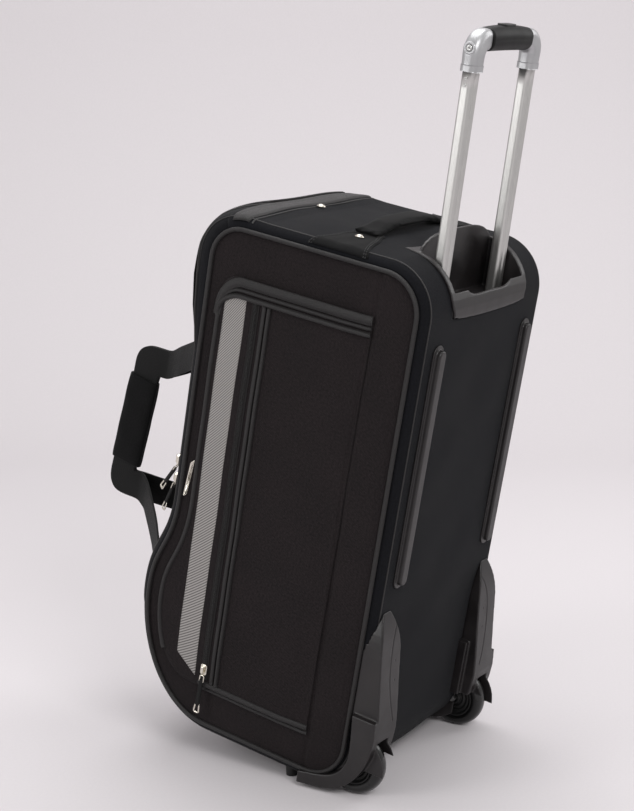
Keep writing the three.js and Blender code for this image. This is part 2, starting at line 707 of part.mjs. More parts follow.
// Painted ends, soft grip with its release button, and the end screws.
function addGrip(base) {
  const outer = tubeAt + tubeWidth / 2 + 2;
  const inner = tubeAt - tubeWidth / 2 - 1;
  const high = base + endHeight;
  const end = new THREE.Shape();
  end.moveTo(inner, base);
  end.lineTo(outer, base);
  end.lineTo(outer, base + endHeight * 0.45);
  end.quadraticCurveTo(outer - 1, high - 3, inner - 8, high);
  end.lineTo(inner - 8, high - gripHeight);
  end.quadraticCurveTo(inner, high - gripHeight - 2, inner, base + 12);
  const bevel = (size) => ({
    bevelEnabled: true,
    bevelThickness: size,
    bevelSize: size,
    bevelOffset: -size,
    bevelSegments: 2,
    curveSegments: 4,
  });
  const rounding = bevel(2.5);
  const halfEnd = endThickness / 2 - 2.5;
  const endPiece = slabY(end, halfEnd, -halfEnd, rounding);
  const screwZ = base + endHeight * 0.56;
  const seat = outer - 3;
  addPair(trolley, "handle_end", endPiece.subtract(barX(4.4, seat, far, 0, screwZ)), silverPaint);
  addPair(trolley, "end_screw", barX(3.8, seat + gap, seat + 2, 0, screwZ), nickel);

  const reach = inner - 8 - gap;
  const grip = new THREE.Shape();
  grip.moveTo(-reach, high - gripHeight);
  grip.quadraticCurveTo(0, high - gripHeight + 4, reach, high - gripHeight);
  grip.lineTo(reach, high);
  grip.quadraticCurveTo(0, high + 7, -reach, high);
  const halfGrip = gripThickness / 2 - 4;
  const handle = slabY(grip, halfGrip, -halfGrip, bevel(4));
  const pocket = slabZ(roundedRectangle(buttonLength + 1, buttonWidth + 1, 6), high - 6, far);
  addPiece(trolley, "handle_grip", handle.subtract(pocket), softGrip);
  const button = slabZ(roundedRectangle(buttonLength, buttonWidth, 5.5), high - 2.5, high + 4.5);
  addPiece(trolley, "release_button", button, blackPlastic);
}

// A flat piece of webbing from one point to another, `across` being its width's direction.
function webbingPiece(from, to, across, width = webbing, thickness = webbingThickness, extra = 0) {
  const along = new THREE.Vector3().subVectors(to, from);
  const length = along.length() + 2 * extra;
  along.normalize();
  const side = across.clone().addScaledVector(along, -across.dot(along)).normalize();
  const normal = new THREE.Vector3().crossVectors(along, side);
  const place = new THREE.Matrix4().makeBasis(side, normal, along);
  place.setPosition(new THREE.Vector3().addVectors(from, to).multiplyScalar(0.5));
  return solidOf(new THREE.BoxGeometry(width, thickness, length).applyMatrix4(place));
}

// Two carry straps that meet in the middle, each with its half of the grip.
function addCarryStraps() {
  const offset = webbingThickness / 2 + gap;
  const root = (height) => new THREE.Vector3(strapAnchor, -frontDepth(height) - strapClearance, height);
  const up = new THREE.Vector3(0, 0, 1);
  const half = webbing / 2;
  const corner = new THREE.Vector3(offset, -gripReach, upperCorner);
  const heel = new THREE.Vector3(offset, -gripReach - 20, lowerCorner);
  const upperRoot = root(upperAnchorHeight);
  const lowerRoot = root(lowerAnchorHeight);
  const elbow = (point) => new THREE.Vector3(offset, point.y + half + 14, point.z);
  const front = new THREE.Vector3(0, -1, 0);
  const strap = webbingPiece(upperRoot, elbow(corner), up)
    .add(webbingPiece(elbow(corner), corner, up, webbing, webbingThickness, half))
    .add(webbingPiece(corner, heel, front, webbing, webbingThickness, half))
    .add(webbingPiece(heel, elbow(heel), up, webbing, webbingThickness, half))
    .add(webbingPiece(elbow(heel), lowerRoot, up))
    .intersect(box(gap / 2, far, -far, far, -far, far));
  addPair(bag, "carry_strap", strap, webbingCloth);

  const along = new THREE.Vector3().subVectors(heel, corner).normalize();
  const centre = new THREE.Vector3().addVectors(heel, corner).multiplyScalar(0.5);
  const start = centre.clone().addScaledVector(along, -wrapLength / 2);
  const stop = centre.clone().addScaledVector(along, wrapLength / 2);
  const pad = webbingPiece(start, stop, front, wrapWidth, wrapThickness)
    .subtract(webbingPiece(start, stop, front, webbing + 2 * gap, webbingThickness + 2 * gap, 1))
    .intersect(box(gap / 2, far, -far, far, -far, far));
  addPair(bag, "grip_pad", pad, webbingCloth);
}

// Padded haul handle between two riveted patches on the top.
function addHaulHandle() {
  const base = caseTop + gap;
  const start = haulHalfLength + gap;
  const patch = roundedRectangle(patchLength, patchWidth, 12);
  const middle = start + patchLength / 2;
  const sheet = slabZ(patch, base, base + 4).translate([middle, -haulAt, 0]);
  const disc = roundedRectangle(2 * rivetRadius, 2 * rivetRadius, rivetRadius - 0.1);
  const rivet = slabZ(disc, base + 4 + gap, base + 6.5);
  addPair(bag, "haul_patch", sheet.intersect(box(-far, flat, -far, far, -far, far)), webbingCloth);
  addPair(bag, "haul_rivet", rivet.translate([middle - 2, -haulAt, 0]), nickel);
  const arch = new THREE.Shape();
  const thick = 9;
  arch.moveTo(-haulHalfLength, base + 0.5);
  arch.quadraticCurveTo(0, base + 2 * haulRise, haulHalfLength, base + 0.5);
  arch.lineTo(haulHalfLength, base + 5);
  arch.quadraticCurveTo(0, base + 2 * haulRise + 2 * thick - 4, -haulHalfLength, base + 5);
  const handle = slabY(arch, -haulAt + haulWidth / 2, -haulAt - haulWidth / 2, { curveSegments: 14 });
  addPiece(bag, "haul_handle", handle, webbingCloth);
}

function addBadge() {
  const half = badgeLength / 2;
  const plate = polygon([[-6, -half], [0, 4 - half], [6, half], [0, half - 4]]);
  const from = caseWidth / 2 + gap;
  addPiece(bag, "badge", slabX(plate, from, from + 2).translate([0, -badgeDepth, zipMiddle]), nickel);
}

addCase();
addPiping();
addMainZip();
const pocketFace = addPocket();
addSliders(pocketFace);
addBadge();
addWheel();
addHousing();
addFeet();
addRails();
addBezel();
addTrolley();
addCarryStraps();
addHaulHandle();

// Lean the bag back about the axle, then centre its footprint on the origin.
const stance = new THREE.Group();
stance.add(bag);
bag.position.set(0, -axle.y, -axle.z);
stance.rotation.x = -turn;
stance.position.z = axle.z;
const group = new THREE.Group();
group.add(stance);
group.updateMatrixWorld(true);
const bounds = new THREE.Box3().setFromObject(group, true);
stance.position.y -= (bounds.min.y + bounds.max.y) / 2;

export default group;
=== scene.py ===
import json
import math

import bpy
import bmesh
import numpy as np
from mathutils import Matrix, Vector

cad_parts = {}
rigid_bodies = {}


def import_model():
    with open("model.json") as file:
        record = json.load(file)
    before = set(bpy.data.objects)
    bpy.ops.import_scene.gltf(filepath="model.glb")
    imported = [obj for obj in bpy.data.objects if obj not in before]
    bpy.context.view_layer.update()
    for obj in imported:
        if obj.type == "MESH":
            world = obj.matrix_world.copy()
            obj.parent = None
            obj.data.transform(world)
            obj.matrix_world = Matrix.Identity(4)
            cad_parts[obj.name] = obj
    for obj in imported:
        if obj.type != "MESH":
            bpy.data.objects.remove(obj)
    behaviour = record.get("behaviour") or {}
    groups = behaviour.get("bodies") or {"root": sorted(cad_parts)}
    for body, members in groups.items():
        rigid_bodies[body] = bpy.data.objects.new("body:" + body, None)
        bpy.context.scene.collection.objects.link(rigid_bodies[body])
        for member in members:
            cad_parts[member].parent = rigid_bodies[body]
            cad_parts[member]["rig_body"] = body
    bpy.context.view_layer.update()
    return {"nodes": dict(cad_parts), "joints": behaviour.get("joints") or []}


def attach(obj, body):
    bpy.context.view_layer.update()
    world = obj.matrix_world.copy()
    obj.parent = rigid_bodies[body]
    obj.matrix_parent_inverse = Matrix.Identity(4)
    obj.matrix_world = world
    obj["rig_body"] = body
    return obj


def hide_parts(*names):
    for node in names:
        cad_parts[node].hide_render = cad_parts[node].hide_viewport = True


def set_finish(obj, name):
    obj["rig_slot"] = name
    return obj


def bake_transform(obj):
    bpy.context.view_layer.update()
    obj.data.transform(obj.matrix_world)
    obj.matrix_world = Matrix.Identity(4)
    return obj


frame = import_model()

mm = 0.001

# The bag's own frame, in millimetres: x across, y = 0 on the back panel and less towards the front, z up the back.
joints = {joint["name"]: joint for joint in frame["joints"]}
bagUp = np.array(joints["pocket_zip_right"]["axis"])
bagBack = np.array([0, bagUp[2], -bagUp[1]])
axle = np.array(joints["wheel_right_spin"]["pos_m"]) / mm
axleDepth = 3

case = dict(
    halfWidth=142, top=634, bottom=-2, upperDepth=300, bellyDepth=327, bellyHeight=152, waist=286,
    backTop=58, frontTop=52, frontBottom=118, backBottom=60, edge=12, cloth=3,
)


def toFrame(points):
    # bag millimetres to the model's metres
    p = np.asarray(points, float)
    deep = (p[..., 1:2] + axleDepth) * bagBack
    high = (p[..., 2:3] - axle[2]) * bagUp
    return (p[..., :1] * np.array([1.0, 0, 0]) + deep + high + np.array([0, axle[1], axle[2]])) * mm


def toBag(points):
    # the model's metres back to bag millimetres, as x, y, z
    p = np.asarray(points, float) / mm - np.array([0, axle[1], axle[2]])
    return p[..., 0], p @ bagBack - axleDepth, p @ bagUp + axle[2]


def smoothStep(value, low, high):
    # 0 below low, 1 above high, and 3t^2 - 2t^3 between them
    t = np.clip((np.asarray(value, float) - low) / (high - low), 0, 1)
    return t * t * (3 - 2 * t)


def bump(value, centre, width):
    # 1 at the centre, 0 from width away, (1 - t^2)^2 between
    t = np.clip(np.abs(np.asarray(value, float) - centre) / width, 0, 1)
    return (1 - t * t) ** 2


def arc(centre, radii, start, end, count=40):
    # points on an ellipse between two angles in degrees
    turn = np.radians(np.linspace(start, end, count))
    return np.stack([centre[0] + radii[0] * np.cos(turn), centre[1] + radii[1] * np.sin(turn)], -1)


def resample(points, count, closed=False):
    # equal steps along a line of points
    line = np.vstack([points, points[:1]]) if closed else np.asarray(points, float)
    steps = np.r_[0, np.cumsum(np.linalg.norm(np.diff(line, axis=0), axis=1))]
    at = np.linspace(0, steps[-1], count + 1 if closed else count)
    if closed:
        at = at[:-1]
    return np.stack([np.interp(at, steps, line[:, i]) for i in range(line.shape[1])], -1)


def caseOutline():
    # side view of the case as (y, z): up the back, over the top, down the front, back along the bottom
    c = case
    start, end = np.array([-c["upperDepth"], c["waist"]]), np.array([-c["bellyDepth"], c["bellyHeight"]])
    middle = (start[1] + end[1]) / 2
    handles = [start, np.array([start[0], middle]), np.array([end[0], middle]), end]
    t = np.linspace(0, 1, 40)[:, None]
    waist = sum(w * h for w, h in zip([(1 - t) ** 3, 3 * t * (1 - t) ** 2, 3 * t * t * (1 - t), t ** 3], handles))
    rise = c["bellyHeight"] - c["bottom"]
    return np.vstack([
        arc([-c["backTop"], c["top"] - c["backTop"]], [c["backTop"]] * 2, 0, 90),
        arc([-c["upperDepth"] + c["frontTop"], c["top"] - c["frontTop"]], [c["frontTop"]] * 2, 90, 180),
        waist,
        arc([-c["bellyDepth"] + c["frontBottom"], c["bellyHeight"]], [c["frontBottom"], rise], 180, 270),
        arc([-c["backBottom"], c["bottom"] + c["backBottom"]], [c["backBottom"]] * 2, 270, 360),
    ])


outlineCount = 900
outline = resample(caseOutline(), outlineCount, closed=True)
step = np.roll(outline, -1, 0) - np.roll(outline, 1, 0)
outlineNormal = np.stack([step[:, 1], -step[:, 0]], -1)
outlineNormal /= np.linalg.norm(outlineNormal, axis=1)[:, None]
outlineLength = np.linalg.norm(outline - np.roll(outline, -1, 0), axis=1).sum()
outlineAt = np.arange(outlineCount) * outlineLength / outlineCount


def along(y, z):
    # length along the outline where it passes nearest to a point
    return outlineAt[np.argmin((outline[:, 0] - y) ** 2 + (outline[:, 1] - z) ** 2)]


def outlinePoint(s):
    # place and outward direction, as (y, z), at a length round the outline
    s = np.mod(s, outlineLength)
    at = np.r_[outlineAt, outlineLength]
    y, z, ny, nz = (np.interp(s, at, np.r_[v, v[0]]) for v in (*outline.T, *outlineNormal.T))
    return np.stack([y, z], -1), np.stack([ny, nz], -1)


# How far the middle of the band stands proud of its edges, round the outline.
crownPlaces = [(0, 300, 1), (-8, 618, 2), (-58, 634, 3), (-110, 634, 6), (-175, 634, 4), (-245, 634, 1),
               (-290, 612, 3), (-300, 480, 3), (-300, 320, 5), (-327, 152, 5), (-200, -2, 3), (-60, -2, 2)]
crownAt = sorted((along(y, z), height) for y, z, height in crownPlaces)

# The gusset in front of the top corner: places on the outline and its height there, full almost to its edges.
gussetPlaces = [(-225, 634, 0), (-262, 633, 4), (-290, 612, 18), (-300, 585, 24), (-300, 550, 25), (-300, 515, 19),
                (-300, 485, 8), (-300, 470, 2), (-300, 462, 0)]
gussetSquareness = 9  # a higher power keeps the gusset full nearer to its edges
gussetAt = sorted((along(y, z), height) for y, z, height in gussetPlaces)


def crown(s):
    # the crown's height at a length round the outline, straight between the places above
    at, height = np.array(crownAt).T
    return np.interp(np.mod(s, outlineLength), at, height, period=outlineLength)


def sag(s, x):
    # the cloth's uneven lie, in millimetres
    waves = np.sin(s / 31 + 0.6) * np.sin(x / 27 + 1.1) + 0.6 * np.sin(s / 17 + x / 23)
    return 0.5 * waves


def casePoint(s, x, lift=0):
    # bag-frame point on the band at length s round the outline and x across, lifted off the cloth
    s, x, lift = np.broadcast_arrays(np.asarray(s, float), np.asarray(x, float), np.asarray(lift, float))
    flat = case["halfWidth"] - case["edge"]
    over = np.clip((np.abs(x) - flat) / case["edge"], 0, 1)
    turn = np.arcsin(over)
    rise = crown(s) * np.clip(1 - (x / flat) ** 2, 0, 1) + sag(s, x) * np.clip(1 - (x / flat) ** 4, 0, 1)
    gussetS, gussetHeight = np.array(gussetAt).T
    fullness = 1 - np.clip(np.abs(x) / case["halfWidth"], 0, 1) ** gussetSquareness
    rise = rise + np.interp(np.mod(s, outlineLength), gussetS, gussetHeight) * fullness
    inset = case["edge"] * (1 - np.cos(turn))
    point, normal = outlinePoint(s)
    out = rise - inset + lift * np.cos(turn)
    sideways = np.sign(x) * lift * np.sin(turn)
    place = point + normal * out[..., None]
    return np.stack([x + sideways, place[..., 0], place[..., 1]], -1)


# Meshes

def lengths(points, axis, closed):
    # distance along one direction of a grid, at its middle line
    line = np.take(points, points.shape[1 - axis] // 2, axis=1 - axis)
    if closed:
        line = np.vstack([line, line[:1]])
    return np.r_[0, np.cumsum(np.linalg.norm(np.diff(line, axis=0), axis=1))]


def addMesh(name, points, faces, uvs, material, body, slot, replaces=(), facing=None, keep=None):
    # faces and uvs are lists of arrays, one for quads and one for triangles
    mesh = bpy.data.meshes.new(name)
    if keep is not None:
        kept = [keep(*toBag(points[f].mean(1))) for f in faces]
        faces, uvs = [f[k] for f, k in zip(faces, kept)], [u[k] for u, k in zip(uvs, kept)]
    counts = np.concatenate([np.full(len(f), f.shape[1]) for f in faces])
    loops = np.concatenate([f.ravel() for f in faces])
    uv = np.concatenate([u.reshape(-1, 2) for u in uvs])
    starts = np.r_[0, np.cumsum(counts)[:-1]]
    mesh.vertices.add(len(points))
    mesh.vertices.foreach_set("co", points.astype(np.float32).ravel())
    mesh.loops.add(len(loops))
    mesh.loops.foreach_set("vertex_index", loops.astype(np.int32))
    mesh.polygons.add(len(counts))
    mesh.polygons.foreach_set("loop_start", starts.astype(np.int32))
    mesh.update(calc_edges=True)
    layer = mesh.uv_layers.new(name="lie")
    layer.data.foreach_set("uv", uv.astype(np.float32).ravel())
    mesh.polygons.foreach_set("use_smooth", np.ones(len(counts), bool))
    mesh.validate()
    work = bmesh.new()
    work.from_mesh(mesh)
    bmesh.ops.delete(work, geom=[v for v in work.verts if not v.link_faces], context="VERTS")
    if facing is None:
        if work.calc_volume(signed=True) < 0:
            bmesh.ops.reverse_faces(work, faces=work.faces)
    elif sum(face.normal.dot(Vector(facing)) * face.calc_area() for face in work.faces) < 0:
        bmesh.ops.reverse_faces(work, faces=work.faces)
    work.to_mesh(mesh)
    work.free()
    piece = bpy.data.objects.new(name, mesh)
    bpy.context.scene.collection.objects.link(piece)
    mesh.materials.append(material)
    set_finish(piece, slot)
    if replaces:
        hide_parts(*replaces)
    if body:
        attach(piece, body)
    return piece


def addGrid(name, points, material, body, slot, closedU=False, closedV=False, caps=False, **more):
    # a surface from a grid of bag-frame points; caps close both ends of a tube whose rings are closed
    n, m = points.shape[:2]
    i, j = np.meshgrid(np.arange(n if closedU else n - 1), np.arange(m if closedV else m - 1), indexing="ij")
    i, j = i.ravel(), j.ravel()
    i2, j2 = (i + 1) % n, (j + 1) % m
    quads = np.stack([i * m + j, i2 * m + j, i2 * m + j2, i * m + j2], -1)
    u, v = lengths(points, 0, closedU) * mm, lengths(points, 1, closedV) * mm
    uv = np.stack([np.stack([u[a], v[b]], -1) for a, b in ((i, j), (i + 1, j), (i + 1, j + 1), (i, j + 1))], 1)
    places, faces, uvs = points.reshape(-1, 3), [quads], [uv]
    if caps:
        ring = np.arange(m)
        middles = np.stack([points[0].mean(0), points[-1].mean(0)])
        first, last = n * m, n * m + 1
        ends = [np.stack([np.full(m, first), (ring + 1) % m, ring], -1),
                np.stack([np.full(m, last), (n - 1) * m + ring, (n - 1) * m + (ring + 1) % m], -1)]
        places = np.vstack([places, middles])
        faces.append(np.vstack(ends))
        uvs.append(np.zeros((2 * m, 3, 2)))
    return addMesh(name, toFrame(places), faces, uvs, material, body, slot, **more)


def frameAlong(path, up, closed=False):
    # unit directions along, across and up at each point of a path
    path = np.asarray(path, float)
    if closed:
        ahead = np.roll(path, -1, 0) - np.roll(path, 1, 0)
    else:
        ahead = np.gradient(path, axis=0)
    ahead /= np.linalg.norm(ahead, axis=1)[:, None]
    up = np.broadcast_to(np.asarray(up, float), path.shape)
    across = np.cross(ahead, up)
    across /= np.linalg.norm(across, axis=1)[:, None]
    return ahead, across, np.cross(across, ahead)


def addSweep(name, path, up, profile, material, body, slot, closed=False, **more):
    # a closed (across, up) profile carried along a path
    _, across, high = frameAlong(path, up, closed)
    profile = np.asarray(profile, float)
    points = path[:, None] + across[:, None] * profile[None, :, :1] + high[:, None] * profile[None, :, 1:]
    return addGrid(name, points, material, body, slot, closedU=closed, closedV=True, caps=not closed, **more)


def roundProfile(width, height, count=14, flatBelow=False):
    # an ellipse, or the upper half of one over a nearly flat underside
    turn = np.linspace(0, 2 * math.pi, count, endpoint=False)
    across, high = np.cos(turn) * width / 2, np.sin(turn) * height / 2
    if flatBelow:
        high = np.where(high < 0, high * 0.2, high)
    return np.stack([across, high], -1)


def roundedBox(width, height, radius, count=5):
    # outline of a rectangle with round corners
    corners = [(1, 1, 0), (-1, 1, 90), (-1, -1, 180), (1, -1, 270)]
    flatX, flatY = width / 2 - radius, height / 2 - radius
    return np.vstack([arc([x * flatX, y * flatY], [radius] * 2, a, a + 90, count) for x, y, a in corners])


def addLathe(name, centre, profile, material, body, slot, count=96, **more):
    # an (radius, x) profile turned about a line along x; a profile that starts and ends on the axis closes itself
    profile = np.asarray(profile, float)
    turn = np.linspace(0, 2 * math.pi, count, endpoint=False)
    radius, x = profile[None, :, 0], profile[None, :, 1]
    points = np.stack([np.broadcast_to(centre[0] + x, (count, len(profile))),
                       centre[1] + radius * np.cos(turn)[:, None], centre[2] + radius * np.sin(turn)[:, None]], -1)
    piece = addGrid(name, points, material, body, slot, closedU=True, closedV=True, **more)
    weld(piece)
    return piece


def weld(piece, distance=1e-6):
    work = bmesh.new()
    work.from_mesh(piece.data)
    bmesh.ops.remove_doubles(work, verts=work.verts, dist=distance)
    bmesh.ops.recalc_face_normals(work, faces=work.faces)
    work.to_mesh(piece.data)
    work.free()


def thicken(piece, thickness, offset=-1):
    solid = piece.modifiers.new("thickness", "SOLIDIFY")
    solid.thickness = thickness * mm
    solid.offset = offset
    solid.use_even_offset = True


def bake(piece):
    # applies a piece's modifiers to its mesh
    bpy.context.view_layer.update()
    held = piece.evaluated_get(bpy.context.evaluated_depsgraph_get())
    mesh = bpy.data.meshes.new_from_object(held)
    old = piece.data
    piece.modifiers.clear()
    piece.data = mesh
    mesh.name = piece.name
    bpy.data.meshes.remove(old)


def moulded(name, node, voxel, smooth, material, slot, shape=None):
    # a moulded copy of a CAD node, with its facets and corners rounded off
    source = frame["nodes"][node]
    piece = bpy.data.objects.new(name, source.data.copy())
    bpy.context.scene.collection.objects.link(piece)
    weld(piece, 1e-5)
    remesh = piece.modifiers.new("remesh", "REMESH")
    remesh.mode = "VOXEL"
    remesh.voxel_size = voxel * mm
    ease = piece.modifiers.new("ease", "SMOOTH")
    ease.factor = 0.5
    ease.iterations = smooth
    bake(piece)
    if shape:
        shape(piece.data)
    piece.data.materials.clear()
    piece.data.materials.append(material)
    piece.data.polygons.foreach_set("use_smooth", np.ones(len(piece.data.polygons), bool))
    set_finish(piece, slot)
    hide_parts(node)
    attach(piece, source["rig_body"])
    return piece


# Materials

def newMaterial(name, colour, roughness, metallic=0.0, specular=0.5, sheen=0.0, coat=0.0):
    material = bpy.data.materials.new(name)
    material.use_nodes = True
    shader = material.node_tree.nodes["Principled BSDF"]
    shader.inputs["Base Color"].default_value = (*colour, 1)
    shader.inputs["Roughness"].default_value = roughness
    shader.inputs["Metallic"].default_value = metallic
    shader.inputs["Specular IOR Level"].default_value = specular
    shader.inputs["Sheen Weight"].default_value = sheen
    shader.inputs["Sheen Roughness"].default_value = 0.45
    shader.inputs["Coat Weight"].default_value = coat
    shader.inputs["Coat Roughness"].default_value = 0.12
    return material, material.node_tree, shader


def nodeOf(tree, kind, inputs=None, **values):
    node = tree.nodes.new(kind)
    for key, value in values.items():
        setattr(node, key, value)
    for key, value in (inputs or {}).items():
        if hasattr(value, "is_output"):
            tree.links.new(value, node.inputs[key])
        else:
            node.inputs[key].default_value = value
    return node


def mathOf(tree, operation, a, b=0.0, c=0.0):
    return nodeOf(tree, "ShaderNodeMath", {0: a, 1: b, 2: c}, operation=operation).outputs[0]


def lieOf(tree, turn=0.0, uv=True):
    # coordinates in metres, on the cloth's own lie or in the model's frame
    source = nodeOf(tree, "ShaderNodeTexCoord").outputs["UV" if uv else "Object"]
    return nodeOf(tree, "ShaderNodeMapping", {"Vector": source, "Rotation": (0, 0, math.radians(turn))}).outputs[0]


def ribs(tree, lie, axis, pitch):
    # 0 to 1, a smooth rib every pitch metres
    part = nodeOf(tree, "ShaderNodeSeparateXYZ", {0: lie}).outputs[axis]
    wave = mathOf(tree, "SINE", mathOf(tree, "MULTIPLY", part, 2 * math.pi / pitch))
    return mathOf(tree, "MULTIPLY_ADD", wave, 0.5, 0.5)


def noiseOf(tree, lie, size, detail=3.0, rough=0.55):
    inputs = {"Vector": lie, "Scale": 1 / size, "Detail": detail, "Roughness": rough}
    return nodeOf(tree, "ShaderNodeTexNoise", inputs).outputs["Fac"]


def mixColour(tree, fac, first, second):
    inputs = {0: fac, 6: (*first, 1), 7: (*second, 1)}
    return nodeOf(tree, "ShaderNodeMix", inputs, data_type="RGBA").outputs[2]


def rangeOf(tree, value, low, high, toLow, toHigh):
    inputs = {0: value, 1: low, 2: high, 3: toLow, 4: toHigh}
    return nodeOf(tree, "ShaderNodeMapRange", inputs).outputs[0]


def bumpTo(tree, shader, height, depth, strength=1.0):
    inputs = {"Height": height, "Distance": depth, "Strength": strength}
    tree.links.new(nodeOf(tree, "ShaderNodeBump", inputs).outputs[0], shader.inputs["Normal"])


def clothMaterial(name, dark, light, pitch, turn=45.0, depth=0.00025, sheen=0.03, rough=(0.8, 0.95), specular=0.12):
    # twill: diagonal ribs crossed by finer threads, over slow changes of shade
    material, tree, shader = newMaterial(name, dark, rough[1], specular=specular, sheen=sheen)
    lie = lieOf(tree, turn)
    twill = ribs(tree, lie, 0, pitch)
    thread = ribs(tree, lie, 1, pitch * 0.62)
    weave = mathOf(tree, "MULTIPLY_ADD", thread, 0.45, mathOf(tree, "MULTIPLY", twill, 0.55))
    fuzz = noiseOf(tree, lieOf(tree), 0.0026, 4, 0.7)
    shade = noiseOf(tree, lieOf(tree), 0.07, 4)
    mixed = mathOf(tree, "ADD", mathOf(tree, "MULTIPLY", weave, 0.3), mathOf(tree, "MULTIPLY", fuzz, 0.9))
    mixed = mathOf(tree, "MULTIPLY_ADD", shade, 0.3, mixed)
    tree.links.new(mixColour(tree, rangeOf(tree, mixed, 0.5, 1.0, 0, 1), dark, light), shader.inputs["Base Color"])
    tree.links.new(rangeOf(tree, shade, 0.3, 0.7, *rough), shader.inputs["Roughness"])
    bumpTo(tree, shader, mathOf(tree, "MULTIPLY_ADD", fuzz, 0.35, weave), depth, 0.8)
    return material


def ribbedMaterial(name, dark, light, pitch, crossPitch, depth=0.0003, sheen=0.03, rough=0.7):
    # webbing and tape: ribs across the length, with a fainter line along it
    material, tree, shader = newMaterial(name, dark, rough, specular=0.2, sheen=sheen)
    lie = lieOf(tree)
    across, lengthwise = ribs(tree, lie, 0, pitch), ribs(tree, lie, 1, crossPitch)
    weave = mathOf(tree, "MULTIPLY_ADD", lengthwise, 0.4, mathOf(tree, "MULTIPLY", across, 0.6))
    fuzz = noiseOf(tree, lie, 0.0012, 2)
    mixed = mathOf(tree, "MULTIPLY_ADD", fuzz, 0.5, mathOf(tree, "MULTIPLY", weave, 0.5))
    tree.links.new(mixColour(tree, mixed, dark, light), shader.inputs["Base Color"])
    bumpTo(tree, shader, mathOf(tree, "MULTIPLY_ADD", fuzz, 0.3, weave), depth, 0.8)
    return material


def hatchedMaterial(name, dark, light, pitch):
    # silver cloth tape: short light cells between fine dark diagonal lines
    material, tree, shader = newMaterial(name, light, 0.6, specular=0.3, sheen=0.03)
    lie = lieOf(tree, 52)
    line = ribs(tree, lie, 0, pitch)
    cell = ribs(tree, lie, 1, pitch * 0.9)
    fuzz = noiseOf(tree, lie, 0.0006, 2)
    hatch = mathOf(tree, "MULTIPLY_ADD", cell, 0.25, mathOf(tree, "MULTIPLY", line, 0.75))
    fac = rangeOf(tree, mathOf(tree, "MULTIPLY_ADD", fuzz, 0.3, hatch), 0.25, 0.75, 0, 1)
    tree.links.new(mixColour(tree, fac, dark, light), shader.inputs["Base Color"])
    bumpTo(tree, shader, hatch, 0.0003, 0.6)
    return material


def plasticMaterial(name, colour, light, rough, grain=0.0007, depth=0.00008, coat=0.0, specular=0.5):
    # moulded plastic: a fine even grain, and shine that changes a little over the piece
    material, tree, shader = newMaterial(name, colour, rough, specular=specular, coat=coat)
    lie = lieOf(tree, uv=False)
    speck, slow = noiseOf(tree, lie, grain, 2), noiseOf(tree, lie, 0.03, 4)
    tree.links.new(mixColour(tree, rangeOf(tree, slow, 0.3, 0.7, 0, 1), colour, light), shader.inputs["Base Color"])
    tree.links.new(rangeOf(tree, slow, 0.3, 0.7, rough - 0.06, rough + 0.08), shader.inputs["Roughness"])
    bumpTo(tree, shader, speck, depth, 0.6)
    return material


def metalMaterial(name, colour, rough, streak=None, wear=0.06):
    # metal: fine scratches drawn out along the piece where it has a direction
    material, tree, shader = newMaterial(name, colour, rough, metallic=1.0)
    lie = lieOf(tree, uv=False)
    if streak is not None:
        # turned so that its last axis runs along the tubes, then squeezed across them
        turn = nodeOf(tree, "ShaderNodeMapping", {"Vector": lie, "Rotation": (streak, 0, 0)}).outputs[0]
        lie = nodeOf(tree, "ShaderNodeMapping", {"Vector": turn, "Scale": (1, 1, 0.02)}).outputs[0]
    fine = noiseOf(tree, lie, 0.0005, 3)
    slow = noiseOf(tree, lieOf(tree, uv=False), 0.012, 4)
    tree.links.new(rangeOf(tree, fine, 0.3, 0.7, rough - wear, rough + wear), shader.inputs["Roughness"])
    tree.links.new(mixColour(tree, slow, colour, tuple(c * 0.86 for c in colour)), shader.inputs["Base Color"])
    bumpTo(tree, shader, fine, 0.00002, 0.5)
    return material


